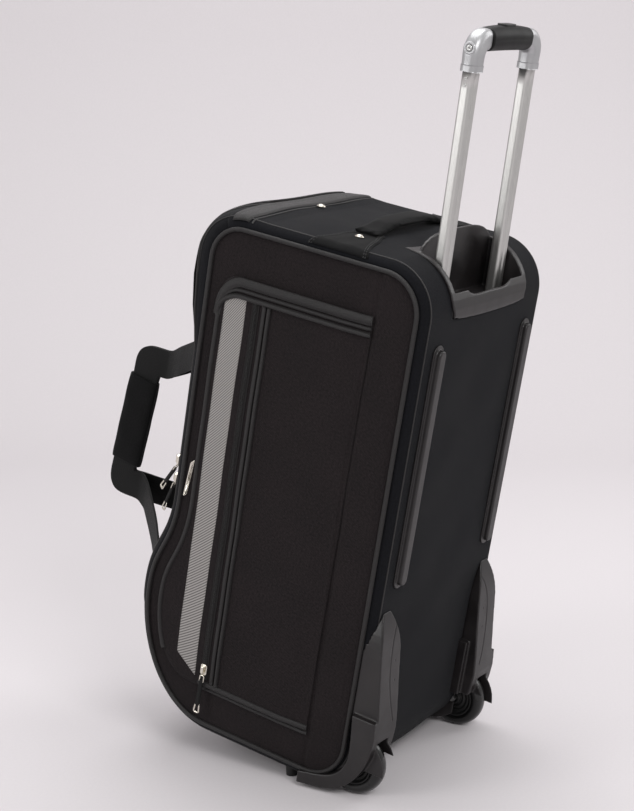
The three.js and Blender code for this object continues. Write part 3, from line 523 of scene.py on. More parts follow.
finishes = dict(
    side=clothMaterial("side_cloth", (0.0035, 0.0027, 0.0030), (0.0215, 0.0168, 0.0176), 0.0015, depth=0.0004),
    band=clothMaterial("band_cloth", (0.0015, 0.0016, 0.0022), (0.0075, 0.0078, 0.0102), 0.0015, depth=0.0003),
    pad=clothMaterial("pad_cloth", (0.0022, 0.0022, 0.0023), (0.0085, 0.0085, 0.0090), 0.0016, sheen=0.03),
    cord=clothMaterial("cord_cloth", (0.0030, 0.0026, 0.0027), (0.0130, 0.0111, 0.0114), 0.001,
                       rough=(0.45, 0.6), specular=0.4),
    silver=hatchedMaterial("silver_tape", (0.045, 0.042, 0.040), (0.30, 0.285, 0.275), 0.0023),
    tape=ribbedMaterial("zip_tape", (0.0035, 0.003, 0.0032), (0.012, 0.0105, 0.0105), 0.0009, 0.0018),
    coil=plasticMaterial("zip_coil", (0.0045, 0.004, 0.004), (0.010, 0.009, 0.009), 0.42),
    webbing=ribbedMaterial("webbing", (0.0020, 0.0020, 0.0020), (0.0075, 0.0075, 0.0078), 0.0016, 0.0032,
                           depth=0.0004),
    nickel=metalMaterial("nickel_plate", (0.72, 0.68, 0.60), 0.2),
    steel=metalMaterial("zinc_steel", (0.55, 0.55, 0.54), 0.34),
    tyre=plasticMaterial("polyurethane", (0.0030, 0.0030, 0.0030), (0.006, 0.006, 0.006), 0.3,
                         coat=0.3, specular=0.35),
    black=plasticMaterial("black_plastic", (0.0045, 0.0045, 0.0045), (0.009, 0.009, 0.009), 0.45, specular=0.35),
    grey=plasticMaterial("grey_plastic", (0.0080, 0.0067, 0.0070), (0.0135, 0.0115, 0.0119), 0.38, specular=0.42),
    tube=metalMaterial("anodised_tube", (0.60, 0.595, 0.58), 0.42,
                       streak=-math.acos(joints["handle_slide"]["axis"][2])),
    paint=plasticMaterial("silver_paint", (0.36, 0.36, 0.37), (0.42, 0.42, 0.43), 0.34, coat=0.1),
    grip=plasticMaterial("soft_grip", (0.0018, 0.0017, 0.0017), (0.0042, 0.0039, 0.0039), 0.5,
                         grain=0.0005, specular=0.2),
)
finishes["paint"].node_tree.nodes["Principled BSDF"].inputs["Metallic"].default_value = 0.55
print("finishes made")


# The case: band, lid, sides and piping

opening = dict(top=(-276, 626), bottom=(-305, 62), half=122, edge=121.4, corner=92, hinge=-122)
openTop, openBottom = along(*opening["top"]), along(*opening["bottom"])
well = dict(inner=110.6, outer=141, radius=44)
cup = dict(half=86, depth=56, floor=576)


def roundedIn(distance, radius):
    # how far a round corner draws an edge in at a distance from its end: the radius less the circle's height there
    return radius - np.sqrt(np.clip(radius * radius - np.clip(radius - distance, 0, radius) ** 2, 0, None))


def openEdge(s):
    # how far the opening reaches across on the zip's side: its two corners are round
    return opening["half"] - roundedIn(np.minimum(s - openTop, openBottom - s), opening["corner"])


def easedSteps(start, end, count):
    # steps that get closer together at both ends
    return start + (end - start) * (1 - np.cos(np.linspace(0, math.pi, count))) / 2


def clearOfWell(x, y, z):
    # true outside a wheel well: a cylinder about the axle, open below it
    inside = (abs(x) > well["inner"]) & (abs(x) < well["outer"])
    near = np.hypot(y + axleDepth, z - axle[2]) < well["radius"]
    below = (z < axle[2]) & (y > -axleDepth - well["radius"])
    return ~(inside & (near | below))


def clearOfCup(x, y, z):
    # true outside the box that the handle cup takes up
    return ~((abs(x) < cup["half"]) & (y > -cup["depth"]) & (z > cup["floor"]))


def clothFace(x, y, z):
    return clearOfWell(x, y, z) & clearOfCup(x, y, z)


def addBand():
    # one grid round the back, top and bottom, and two strips beside the opening
    half, edge = case["halfWidth"], case["edge"]
    flat = np.linspace(-half + edge + 2, half - edge - 2, 80)
    x = np.r_[easedSteps(-half, -half + edge, 8), flat, easedSteps(half - edge, half, 8)]
    roundCase = np.linspace(openBottom, openTop + outlineLength, 410)
    grids = [casePoint(roundCase[:, None], x[None])]
    s = easedSteps(openTop, openBottom, 260)
    t = np.linspace(0, 1, 20)
    reach = openEdge(s)
    right = reach[:, None] + 0.6 + (half - reach[:, None] - 0.6) * t
    left = -half + (half - opening["half"] - 0.4) * t[None] + 0 * s[:, None]
    grids += [casePoint(s[:, None], right), casePoint(s[:, None], left)]
    pieces = []
    for number, points in enumerate(grids):
        pieces.append(addGrid(f"case_band_{number}", points, finishes["band"], None, "case_fabric", keep=clothFace))
    return pieces


def outward(piece):
    # open cloth whose faces should look away from the middle of the case
    middle = Vector(toFrame([0, -160, 310]))
    mesh = piece.data
    total = sum((face.center - middle).dot(face.normal) * face.area for face in mesh.polygons)
    if total < 0:
        mesh.flip_normals()


def join(name, pieces):
    # several meshes made into the first, under one name
    first = pieces[0]
    work = bmesh.new()
    for piece in pieces:
        work.from_mesh(piece.data)
    work.to_mesh(first.data)
    work.free()
    for piece in pieces[1:]:
        bpy.data.objects.remove(piece)
    first.name = name
    first.data.name = name
    return first


def addCase():
    parts = addBand()
    for part in parts:
        outward(part)
    band = join("case_band", parts)
    thicken(band, case["cloth"])
    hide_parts("back_panel", "bottom_panel", "top_panel", "front_rim")
    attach(band, "bag")

    s = easedSteps(openTop + 0.3, openBottom - 0.3, 240)
    t = np.r_[np.linspace(0, 0.06, 8)[:-1], np.linspace(0.06, 0.985, 80)[:-1], np.linspace(0.985, 1, 5)]
    reach = openEdge(s) - 0.6
    x = opening["hinge"] + (reach[:, None] - opening["hinge"]) * t
    lid = addGrid("lid_cloth", casePoint(s[:, None], x), finishes["band"], None, "case_fabric")
    outward(lid)
    thicken(lid, case["cloth"])
    bake(lid)
    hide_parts("lid")
    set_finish(lid, "case_fabric")
    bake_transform(lid)
    print("case made")


addCase()


# Sides, piping, pockets

side = dict(inset=12.5, pillow=3.2, seamBack=64, seamDip=1.6)


def insetOutline(inset, count=900):
    # the outline moved inward, as (y, z)
    return resample(outline - outlineNormal * inset, count, closed=True)


def rowEnds(line, z):
    # front and back y of a closed outline at each height
    y0, z0 = line.T
    y1, z1 = np.roll(line, -1, 0).T
    low, high = np.minimum(z0, z1), np.maximum(z0, z1)
    crosses = (z[:, None] >= low) & (z[:, None] <= high)
    share = (z[:, None] - z0) / np.where(np.abs(z1 - z0) < 1e-9, 1e-9, z1 - z0)
    y = y0 + (y1 - y0) * np.clip(share, 0, 1)
    return np.where(crosses, y, np.inf).min(1), np.where(crosses, y, -np.inf).max(1)


def sideLift(y, z, front, back):
    # height of the side cloth over its flat: a soft pillow, dipped along the seams, never quite even
    u = np.clip((y - front) / (back - front), 0, 1)
    low, high = case["bottom"] + side["inset"], case["top"] - side["inset"]
    v = np.clip((z - low) / (high - low), 0, 1)
    pillow = side["pillow"] * (1 - (2 * u - 1) ** 4) * (1 - (2 * v - 1) ** 6)
    seam = -side["seamDip"] * bump(y, -side["seamBack"] + 3 * np.sin(z / 90), 5)
    strip = smoothStep(y, -side["seamBack"] - 1, -side["seamBack"] + 5) * smoothStep(-y, 8, 24)
    waves = 0.55 * np.sin(z / 38 + 0.8) * np.sin(y / 29) + 0.35 * np.sin(z / 17 + y / 41)
    fade = np.clip(np.minimum(y - front, back - y) / 14, 0, 1)
    return (pillow + seam + strip + waves * 0.9) * fade


def sidePoint(y, z, sign, lift=0.0):
    # bag-frame point on a side, sign 1 for the right and -1 for the left, at a lift off its cloth
    line = insetOutline(side["inset"])
    front, back = rowEnds(line, np.ravel(np.asarray(z, float)))
    shape = np.shape(z)
    front, back = front.reshape(shape), back.reshape(shape)
    x = case["halfWidth"] + sideLift(y, z, front, back) + lift
    return np.stack([sign * x, y + 0 * x, z + 0 * x], -1)


def addSide(name, sign):
    # rows of points from the front edge to the back edge at each height
    line = insetOutline(side["inset"])
    z = easedSteps(line[:, 1].min() + 0.02, line[:, 1].max() - 0.02, 230)
    front, back = rowEnds(line, z)
    t = easedSteps(0, 1, 120)
    y = front[:, None] + (back - front)[:, None] * t
    panel = addGrid(f"side_cloth_{name}", sidePoint(y, z[:, None] + 0 * y, sign), finishes["side"], None,
                    "case_fabric", facing=(sign, 0, 0))
    thicken(panel, case["cloth"])
    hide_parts(f"side_panel_{name}")
    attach(panel, "bag")


piping = dict(inset=12.6, out=144.0, radius=2.7, seamInset=8.5, count=700)


def addPiping(name, sign):
    # a covered cord along the seam, wavering a little, and the ridge of the seam beside it on the band
    count = piping["count"]
    line = insetOutline(piping["inset"], count)
    wave = 0.35 * np.sin(np.arange(count) / 23)
    path = np.column_stack([np.full(count, sign * piping["out"]) + wave * 0.4, line[:, 0], line[:, 1]])
    profile = roundProfile(2 * piping["radius"], 2 * piping["radius"], 12)
    addSweep(f"piping_cord_{name}", path, (sign, 0, 0), profile, finishes["cord"], "bag", "case_fabric",
             closed=True, replaces=(f"piping_{name}",))
    seamX = sign * (case["halfWidth"] - piping["seamInset"])
    s = np.linspace(0, outlineLength, count, endpoint=False)
    ridge = casePoint(s, seamX, 0.1)
    normal = casePoint(s, seamX, 1.1) - ridge
    addSweep(f"seam_ridge_{name}", ridge, normal, roundProfile(2.2, 1.3, 8), finishes["cord"], "bag", "case_fabric",
             closed=True, keep=clothFace)


for name, sign in (("right", 1), ("left", -1)):
    addSide(name, sign)
    addPiping(name, sign)
print("sides made")

pocket = dict(
    back=64, front=270.5, top=568, bottom=56, thick=4.2, corner=26, belly=31,
    stripeFront=258, stripeWidth=30, zipAt=214, zipWidth=10,
)


def pocketOutline(inset=0):
    # the pocket as (y, z): square at its back seam, round in front, and following the belly below
    line = insetOutline(pocket["belly"] + inset)
    z = np.linspace(pocket["bottom"] + inset, pocket["top"] - inset, 260)
    front, _ = rowEnds(line, z)
    roundTop = roundedIn(pocket["top"] - inset - z, pocket["corner"])
    roundBottom = roundedIn(z - (pocket["bottom"] + inset), pocket["corner"])
    return z, front + roundTop + roundBottom


def pocketLift(y, z, front):
    # height of the pocket cloth over the side: full in the middle, rolled under at its edges
    edge = np.minimum.reduce([y - front, pocket["top"] - z, z - pocket["bottom"]])
    body = pocket["thick"] * (1 - (1 - np.clip(edge / 9, 0, 1)) ** 2)
    flat = 1 - smoothStep(-y, pocket["back"] + 2, pocket["back"] + 40)
    return body * (1 - 0.55 * flat) + 0.3


def onPocket(y, z, sign, lift=0.0):
    # bag-frame point on a pocket, at a lift off its cloth
    y, z = np.broadcast_arrays(np.asarray(y, float), np.asarray(z, float))
    rows, fronts = pocketOutline()
    front = np.interp(z, rows, fronts)
    return sidePoint(y, z, sign, pocketLift(y, z, front) + lift)


def addPocket(name, sign):
    # the padded cloth, in rows from the round front edge to the back seam, and the stripe laid on it
    rows, fronts = pocketOutline()
    z = easedSteps(rows[0], rows[-1], 220)
    front = np.interp(z, rows, fronts)
    t = easedSteps(0, 1, 110)
    y = front[:, None] + (-pocket["back"] - 1 - front[:, None]) * t
    panel = addGrid(f"pocket_cloth_{name}", onPocket(y, z[:, None] + 0 * y, sign), finishes["side"], None,
                    "case_fabric", facing=(sign, 0, 0))
    thicken(panel, 1.6)
    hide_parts(f"side_pocket_{name}")
    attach(panel, "bag")

    stripeY = -pocket["stripeFront"] + np.linspace(0, pocket["stripeWidth"], 16)
    stripeZ = np.linspace(0, 1, 200)[:, None]
    lowest = np.interp(stripeY, [-258, -228], [92, 70])
    z = lowest + (pocket["top"] - 22 - lowest) * stripeZ
    edge = 1 - (2 * np.linspace(0, 1, 16) - 1) ** 8
    points = onPocket(stripeY + 0 * z, z, sign, 0.35 + 0.25 * edge)
    stripe = addGrid(f"silver_stripe_{name}", points, finishes["silver"], None, "silver_cloth",
                     facing=(sign, 0, 0), replaces=(f"pocket_stripe_{name}",))
    thicken(stripe, 0.5)
    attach(stripe, "bag")


def pocketLine(y, low, high, count=160):
    # an upright line on the pocket, as y and z
    return y + np.zeros(count), np.linspace(low, high, count)


def onSideSweep(name, y, z, sign, profile, material, slot, lift=0.0, **more):
    # a profile carried along a line on the pocket
    path = onPocket(y, z, sign, lift)
    return addSweep(name, path, (sign, 0, 0), profile, material, "bag", slot, **more)


def topEdgeLine(drop, to="corner", count=260):
    # along the top of the pocket and round its front corner, where the welts run together, then down the front
    frontY = -pocket["front"] + 3
    topZ = pocket["top"] - drop
    low = pocket["top"] - 50
    corner = arc([frontY + 32, low], [32, topZ - low], 90, 180, 40)
    straight = np.array([[-pocket["back"] - 1, topZ], [frontY + 32, topZ]])
    line = [straight, corner]
    if to == "bottom":
        rows, fronts = pocketOutline()
        down = (rows < low) & (rows > pocket["bottom"] + 30)
        line.append(np.column_stack([fronts[down] + 3, rows[down]])[::-1])
    return resample(np.vstack(line), count if to == "bottom" else count // 2)


def bottomEdgeLine(drop, count=130):
    # the same along the bottom: straight along the pocket's bottom edge, from the back seam to just past the zip
    line = insetOutline(pocket["belly"] + drop)
    y = np.linspace(-pocket["back"] - 1, -pocket["zipAt"] - 8, 60)
    low = np.full(60, pocket["bottom"] + drop)
    return resample(np.column_stack([y, low]), count)


def addWelts(name, sign):
    # ribbed flap, two bands and a cord along the top; two cords along the bottom
    bands = [("flap", 5, 11.4, 6.4, 0.6), ("band", 14, 4.6, 5.0, 0.2), ("cord", 21, 6, 8.0, 0.4)]
    for label, drop, width, high, lift in bands:
        line = topEdgeLine(drop, to="bottom" if label == "cord" else "corner")
        profile = roundProfile(width, high, 16, flatBelow=True)
        if label == "flap":
            profile[:, 1] += 0.5 * np.cos(profile[:, 0] / width * 2 * math.pi * 4) * (profile[:, 1] > 0)
        onSideSweep(f"pocket_{label}_{name}", line[:, 0], line[:, 1], sign, profile, finishes["cord"],
                    "case_fabric", lift)
    for label, drop, width, high in [("lower_band", 8, 7, 5), ("lower_cord", 0.5, 5, 6)]:
        line = bottomEdgeLine(drop)
        profile = roundProfile(width, high, 12, flatBelow=True)
        onSideSweep(f"pocket_{label}_{name}", line[:, 0], line[:, 1], sign, profile, finishes["cord"],
                    "case_fabric", 0.2)
    low, high = pocket["bottom"] + 12, pocket["top"] - 24
    for label, y, width, tall in [("inner_band", -202.5, 6, 5), ("inner_cord", -195.5, 5, 7.4)]:
        profile = roundProfile(width, tall, 12, flatBelow=True)
        onSideSweep(f"pocket_{label}_{name}", *pocketLine(y, low, high), sign, profile, finishes["cord"],
                    "case_fabric", 0.3)


def addCoil(name, path, up, pitch, width, high, material, body, slot):
    # zip coil: one bent ridge at each pitch along a path, in one mesh
    total = np.linalg.norm(np.diff(path, axis=0), axis=1).sum()
    count = int(total / pitch)
    centre = resample(path, count)
    ups = resample(up + 0 * path, count) if np.shape(up) == np.shape(path) else up
    ahead, across, upward = frameAlong(centre, ups)
    # each ridge is a half ring over the tape, seven points long with four points round its wire
    t = np.linspace(0, math.pi, 7)
    arch = np.stack([np.cos(t) * width / 2, np.sin(t) * high], -1)
    thick = pitch * 0.34
    rings = np.array([(-thick, 0), (0, thick * 0.9), (thick, 0), (0, -thick * 0.5)])
    outwardDir = np.stack([np.cos(t), np.sin(t)], -1)
    bow = arch[None, :, None] + outwardDir[None, :, None] * rings[None, None, :, 1:]
    base = centre[:, None, None] + across[:, None, None] * bow[..., :1] + upward[:, None, None] * bow[..., 1:] \
        + ahead[:, None, None] * rings[None, None, :, :1]
    i, j = np.meshgrid(np.arange(6), np.arange(4), indexing="ij")
    i, j = i.ravel(), j.ravel()
    quads = np.stack([i * 4 + j, (i + 1) * 4 + j, (i + 1) * 4 + (j + 1) % 4, i * 4 + (j + 1) % 4], -1)
    ends = np.array([[0, 1, 2, 3], [27, 26, 25, 24]])
    quads = np.vstack([quads, ends])
    faces = (quads[None] + np.arange(count)[:, None, None] * 28).reshape(-1, 4)
    uvs = np.zeros((len(faces), 4, 2))
    return addMesh(name, toFrame(base.reshape(-1, 3)), [faces], [uvs], material, body, slot)


def addPocketZip(name, sign):
    low, high = pocket["bottom"] + 14, pocket["top"] - 24
    y, z = pocketLine(-pocket["zipAt"], low, high, 200)
    onSideSweep(f"pocket_tape_{name}", y, z, sign, roundedBox(pocket["zipWidth"], 1.2, 0.5, 3), finishes["tape"],
                "zip_tape", 0.5, replaces=(f"pocket_zip_{name}",))
    path = onPocket(y, z, sign, 1.0)
    addCoil(f"pocket_coil_{name}", path, (sign, 0, 0), 1.5, 4.4, 1.1, finishes["coil"], "bag", "zip_tape")


for name, sign in (("right", 1), ("left", -1)):
    addPocket(name, sign)
    addWelts(name, sign)
    addPocketZip(name, sign)
print("pockets made")


# Main zip round the lid, with its welt

mainZip = dict(gap=4.4, welt=11.5, weltRadius=2.3, coil=6.8, coilHeight=1.8, pitch=2.3, run=108)


def openingPath(out, count=900):
    # along the bottom edge, up the right side and over the top, kept out millimetres from the opening, as (s, x)
    r = opening["corner"]
    half, start, end = opening["half"], openTop, openBottom
    path = np.vstack([
        [[end + out, -mainZip["run"]]],
        arc([end - r, half - r], [r + out] * 2, 0, 90, 40),
        arc([start + r, half - r], [r + out] * 2, 90, 180, 40),
        [[start - out, -mainZip["run"]]],
    ])
    return resample(path, count).T


def onBand(path, lift):
    # bag-frame points of a line on the band, and the direction away from the cloth at each
    s, x = path
    return casePoint(s, x, lift), casePoint(s, x, lift + 1) - casePoint(s, x, lift)


def addMainZip():
    line, up = onBand(openingPath(mainZip["gap"]), 0.6)
    addSweep("main_zip_tape", line, up, roundedBox(11, 1.2, 0.5, 3), finishes["tape"], "bag", "zip_tape",
             replaces=("main_zip",))
    line, up = onBand(openingPath(mainZip["gap"]), 0.7)
    addCoil("main_zip_coil", line, up, mainZip["pitch"], mainZip["coil"], mainZip["coilHeight"],
            finishes["coil"], "bag", "zip_tape")
    line, up = onBand(openingPath(mainZip["welt"]), 0.3)
    addSweep("zip_welt_outer", line, up, roundProfile(2 * mainZip["weltRadius"], 3.4, 12), finishes["cord"],
             "bag", "case_fabric")


addMainZip()


# Hard parts

def groovedTube(width, depth, groove):
    # rounded box with a shallow groove down both wide faces
    line = resample(roundedBox(width, depth, 3.4, 6), 72, closed=True)
    dip = groove * bump(line[:, 0], 0, 3.2) * (np.abs(line[:, 1]) > depth / 2 - 1)
    line[:, 1] -= np.sign(line[:, 1]) * dip
    return line


def nodePoints(node):
    # a CAD node's corners in the bag's frame
    mesh = frame["nodes"][node].data
    co = np.zeros(len(mesh.vertices) * 3)
    mesh.vertices.foreach_get("co", co)
    return np.stack(toBag(co.reshape(-1, 3)), -1)


slide = np.array(joints["handle_slide"]["axis"])
slideUp = np.array([0, slide @ bagBack, slide @ bagUp])


def addTube(name, node, body, slotName, finish, groove):
    # a grooved profile carried straight from the node's lower end to its upper end
    p = nodePoints(node)
    high = p @ slideUp
    lowEnd, highEnd = p[high < high.min() + 1].mean(0), p[high > high.max() - 1].mean(0)
    wide = np.ptp(p[:, 0])
    across = p - p.mean(0)
    depthDir = np.cross(slideUp, [1, 0, 0])
    deep = np.ptp(across @ depthDir)
    t = np.linspace(0, 1, 30)[:, None]
    path = lowEnd + (highEnd - lowEnd) * t
    addSweep(name, path, depthDir, groovedTube(wide, deep, groove), finishes[finish], body, slotName, replaces=(node,))


for name in ("right", "left"):
    addTube(f"inner_tube_{name}_drawn", f"inner_tube_{name}", "pull_handle", "anodised_tube", "tube", 1.1)

wheel = dict(radius=38, half=11, rim=25, axle=4.3, at=125)


def addWheel(name, sign):
    # tyre: a round tread with soft shoulders; hub: dished rings round a boss
    centre = (sign * wheel["at"], -axleDepth, axle[2])
    turn = np.linspace(-90, 90, 26)
    crownR = wheel["radius"] - 8.6
    tread = [(crownR + 8.6 * math.cos(math.radians(a)) ** 0.8, wheel["half"] * math.sin(math.radians(a))) for a in turn]
    inner = [(wheel["rim"] + 0.3, 10), (wheel["rim"] + 0.3, -10)]
    step1 = [(wheel["rim"] + 2.2, 10.6), (wheel["rim"] + 1.4, 10.1)]
    step2 = [(wheel["rim"] + 1.4, -10.1), (wheel["rim"] + 2.2, -10.6)]
    addLathe(f"tyre_{name}_tread", centre, tread + step1 + inner + step2, finishes["tyre"], f"wheel_{name}",
             "polyurethane", replaces=(f"tyre_{name}",))
    r0, r1 = wheel["axle"], wheel["rim"]
    outside = [(r0, 10.4), (r0 + 3.4, 10.6), (r0 + 4.4, 10.0), (r0 + 5, 7), (r0 + 7, 6.2), (r0 + 7.6, 7.6),
               (r0 + 9.4, 7.6), (r0 + 10, 6.2), (r0 + 12.6, 6.0), (r0 + 13.2, 7.4), (r1 - 6.2, 7.4),
               (r1 - 5.6, 6.4), (r1 - 3.6, 6.6), (r1 - 2.6, 9.4), (r1 - 1.8, 10), (r1, 10)]
    profile = outside + [(r, -x) for r, x in reversed(outside)]
    addLathe(f"wheel_hub_{name}_rings", centre, profile, finishes["black"], f"wheel_{name}", "black_plastic",
             replaces=(f"wheel_hub_{name}",))


def engrave(mesh, lines, width, depth):
    # presses grooves into a mesh along (x, z) lines, on the side that faces the back
    co = np.zeros(len(mesh.vertices) * 3)
    mesh.vertices.foreach_get("co", co)
    normal = np.zeros(len(mesh.vertices) * 3)
    mesh.vertices.foreach_get("normal", normal)
    x, y, z = toBag(co.reshape(-1, 3))
    facing = normal.reshape(-1, 3) @ bagBack > 0.55
    drop = np.zeros(len(x))
    for line in lines:
        line = resample(line, 160)
        near = np.full(len(x), np.inf)
        pick = np.where(facing)[0]
        near[pick] = np.sqrt(((np.stack([x, z], -1)[pick, None] - line[None]) ** 2).sum(-1)).min(1)
        drop = np.maximum(drop, depth * bump(near, 0, width))
    co = co.reshape(-1, 3) - drop[:, None] * bagBack * mm
    mesh.vertices.foreach_set("co", co.ravel())


housing = dict(arcWidth=1.3, arcDepth=0.9)


def housingLines(sign):
    # one long bow from near the tip to the guard, and two small marks beside it
    bow = np.array([[105, 214], [110, 208], [117, 196], [120.5, 176],
                    [121.5, 158], [120, 140], [116, 118], [109, 98]]) * [sign, 1]
    t = np.linspace(0, 1, len(bow))
    even = np.linspace(0, 1, 60)
    smooth = np.stack([np.interp(even, t, bow[:, 0]), np.interp(even, t, bow[:, 1])], -1)
    for _ in range(30):
        smooth[1:-1] = (smooth[:-2] + 2 * smooth[1:-1] + smooth[2:]) / 4
    dots = [np.array([[sign * 110, z], [sign * 110, z + 0.6]]) for z in (172, 148)]
    return [smooth] + dots


handle = dict(
    tubeX=68.3, foot=840.4, bend=16.5, barZ=874.2, gripEnd=48.2, width=24.5, depth=20.0,
    gripWidth=26.4, gripDepth=26.6,
)


def handleY(z):
    # depth of the trolley handle's middle at a height
    p = nodePoints("inner_tube_right")
    top, low = p[p[:, 2] > p[:, 2].max() - 8].mean(0), p[p[:, 2] < p[:, 2].min() + 8].mean(0)
    return top[1] + (z - top[2]) * (top[1] - low[1]) / (top[2] - low[2])


def addElbow(name, sign):
    # painted casting: up from the tube, round a bend and into the grip, swelling in the bend
    h = handle
    bendZ = h["barZ"] - h["bend"]
    turn = np.linspace(0, math.pi / 2, 26)
    x = np.r_[[h["tubeX"]] * 8, h["tubeX"] - h["bend"] + h["bend"] * np.cos(turn), h["gripEnd"]]
    z = np.r_[np.linspace(h["foot"], bendZ - 0.5, 8), bendZ + h["bend"] * np.sin(turn), h["barZ"]]
    path = np.stack([sign * x, handleY(z), z], -1)
    path = resample(path, 60)
    t = np.linspace(0, 1, 60)
    swell = 1 + 0.05 * bump(t, 0.55, 0.4) - 0.04 * bump(t, 1, 0.08) - 0.05 * bump(t, 0, 0.05)
    _, across, high = frameAlong(path, (0, -1, 0))
    profile = resample(roundedBox(h["width"], h["depth"], 7.5, 10), 80, closed=True)
    rings = across[:, None] * profile[None, :, :1] + high[:, None] * profile[None, :, 1:]
    points = path[:, None] + rings * swell[:, None, None]
    addGrid(f"handle_end_{name}_casting", points, finishes["paint"], "pull_handle", "silver_paint",
            closedV=True, caps=True, replaces=(f"handle_end_{name}",))
    # round boss with its screw, and two small screws in the casting's skirt
    outX = sign * (h["tubeX"] + h["width"] / 2 - 0.2)
    boss = [(0.01, 0), (7.2, 0), (7.2, 0.5), (6.4, 1.0), (4.3, 1.1), (4.1, 0.5), (0.01, 0.5)]
    screw = [(0.01, 0.4), (3.6, 0.4), (3.5, 1.1), (2.6, 1.7), (1.2, 1.8), (1.0, 1.2), (0.01, 1.2)]
    centre = (outX, handleY(865), 865.5)
    addLathe(f"handle_boss_{name}", centre, [(r, sign * x) for r, x in boss], finishes["paint"], "pull_handle",
             "silver_paint")
    addLathe(f"end_screw_{name}_head", centre, [(r, sign * x) for r, x in screw], finishes["steel"],
             "pull_handle", "steel", replaces=(f"end_screw_{name}",))
    for number, z0 in enumerate((833, 826)):
        small = [(0.01, -0.4), (1.9, -0.4), (1.8, 0.4), (1.0, 0.7), (0.7, 0.35), (0.01, 0.35)]
        place = (sign * (h["tubeX"] + 10.5), handleY(z0), z0)
        addLathe(f"tube_rivet_{name}_{number}", place, [(r, sign * x) for r, x in small], finishes["steel"],
                 "pull_handle", "steel", count=24)
    # collar round the top of the tube
    z = np.linspace(h["foot"] - 0.4, h["foot"] + 7, 8)
    collar = np.stack([np.full(8, sign * h["tubeX"]), handleY(z), z], -1)
    ring = resample(roundedBox(h["width"] + 0.9, h["depth"] + 0.9, 7.5, 10), 80, closed=True)
    addSweep(f"handle_collar_{name}", collar, (0, -1, 0), ring, finishes["paint"], "pull_handle", "silver_paint")


def addGripBar():
    # soft grip: an oval bar, fuller in the middle, with rounded ends against the castings
    h = handle
    x = easedSteps(-h["gripEnd"], h["gripEnd"], 90)
    t = np.abs(x) / h["gripEnd"]
    z = h["barZ"] + 1.4 * (1 - t ** 2)
    path = np.stack([x, handleY(z), z], -1)
    size = (0.93 + 0.07 * (1 - t ** 2)) * (1 - 0.10 * np.clip((t - 0.94) / 0.06, 0, 1) ** 2)
    profile = resample(roundedBox(h["gripWidth"], h["gripDepth"] + 0.6, 11, 12), 84, closed=True)
    _, across, high = frameAlong(path, (0, 0, 1))
    seam = 1 - 0.012 * np.exp(-(np.abs(profile[:, 1]) / 0.8) ** 2)[:, None]
    rings = across[:, None] * profile[None, :, :1] + high[:, None] * profile[None, :, 1:]
    points = path[:, None] + rings * size[:, None, None] * seam
    addGrid("handle_grip_rubber", points, finishes["grip"], "pull_handle", "soft_grip", closedV=True, caps=True,
            replaces=("handle_grip",))


def addHard():
    for name, sign in (("right", 1), ("left", -1)):
        addWheel(name, sign)
        moulded(f"wheel_housing_{name}_moulding", f"wheel_housing_{name}", 0.95, 8, finishes["grey"], "grey_plastic",
                lambda mesh, sign=sign: engrave(mesh, housingLines(sign), housing["arcWidth"], housing["arcDepth"]))
        moulded(f"skid_rail_{name}_moulding", f"skid_rail_{name}", 0.75, 5, finishes["grey"], "grey_plastic")
        moulded(f"foot_{name}_moulding", f"foot_{name}", 0.5, 4, finishes["black"], "black_plastic")
        addElbow(name, sign)
    moulded("handle_cup_moulding", "handle_cup", 0.9, 7, finishes["grey"], "grey_plastic")
    addGripBar()
    moulded("release_button_cap", "release_button", 0.35, 4, finishes["black"], "black_plastic")
    for node in ("pocket_right_slider", "pocket_left_slider", "main_upper_slider", "main_lower_slider"):
        moulded(f"{node}_body", node, 0.22, 3, finishes["nickel"], "nickel")


addHard()
print("hard parts made")


# Zip pulls: a wire ring, a webbing tab and an end ring

def ringOf(width, length, taper=0.0, count=56):
    # centre line of a rounded ring, narrower at its upper end by taper
    line = resample(roundedBox(width, length, min(width, length) * 0.28, 6), count, closed=True)
    line[:, 0] *= 1 - taper * (line[:, 1] / length + 0.5)
    return line


def tailLine(width, length):
    return ringOf(width, length, taper=0.3)


def addPull(node, joint, twist):
    # the pull hangs straight from its hinge to the CAD node's farthest corner
    p = nodePoints(node)
    j = joints[joint]
    pivot = np.array([float(v) for v in toBag(j["pos_m"])])
    axis = np.array(j["axis"])
    turn = np.array([axis[0], axis @ bagBack, axis @ bagUp])
    far = p[np.argmax(((p - pivot) ** 2).sum(1))] - pivot
    far -= turn * (far @ turn)
    length = np.linalg.norm(far)
    down = far / length
    out = np.cross(turn, down)

    def place(line, at, offset=0.0):
        # a flat (across, along) line put on the pull, at a distance down it
        return pivot + turn * line[:, :1] + down * (at - line[:, 1:]) + out * offset

    body = j["child"]
    wire = roundProfile(1.7, 1.5, 8)
    ring = place(ringOf(5.6, 8.6), 3.7)
    addSweep(f"{node}_ring", ring, out, wire, finishes["nickel"], body, "nickel", closed=True, replaces=(node,))
    # the tab and its end ring hang turned a little on the wire ring
    twist = math.radians(twist)
    turn, out = turn * math.cos(twist) + out * math.sin(twist), out * math.cos(twist) - turn * math.sin(twist)
    tail = pivot + turn * tailLine(7.4, 10.6)[:, :1] + down * (length - 6.1 - tailLine(7.4, 10.6)[:, 1:])
    addSweep(f"{node}_end", tail, out, roundProfile(2.3, 1.6, 8), finishes["nickel"], body, "nickel", closed=True)
    t = np.linspace(5.4, length - 10.2, 24)
    path = pivot + down * t[:, None]
    addSweep(f"{node}_tab", path, out, roundedBox(5.8, 2.6, 1.1, 4), finishes["webbing"], body, "nickel")


for label in ("pocket_right", "pocket_left", "main_upper", "main_lower"):
    swing = label.replace("pocket_", "pocket_pull_") + "_swing" if "pocket" in label else label + "_pull_swing"
    addPull(f"{label}_pull", swing, 0 if "pocket" in label else 62)


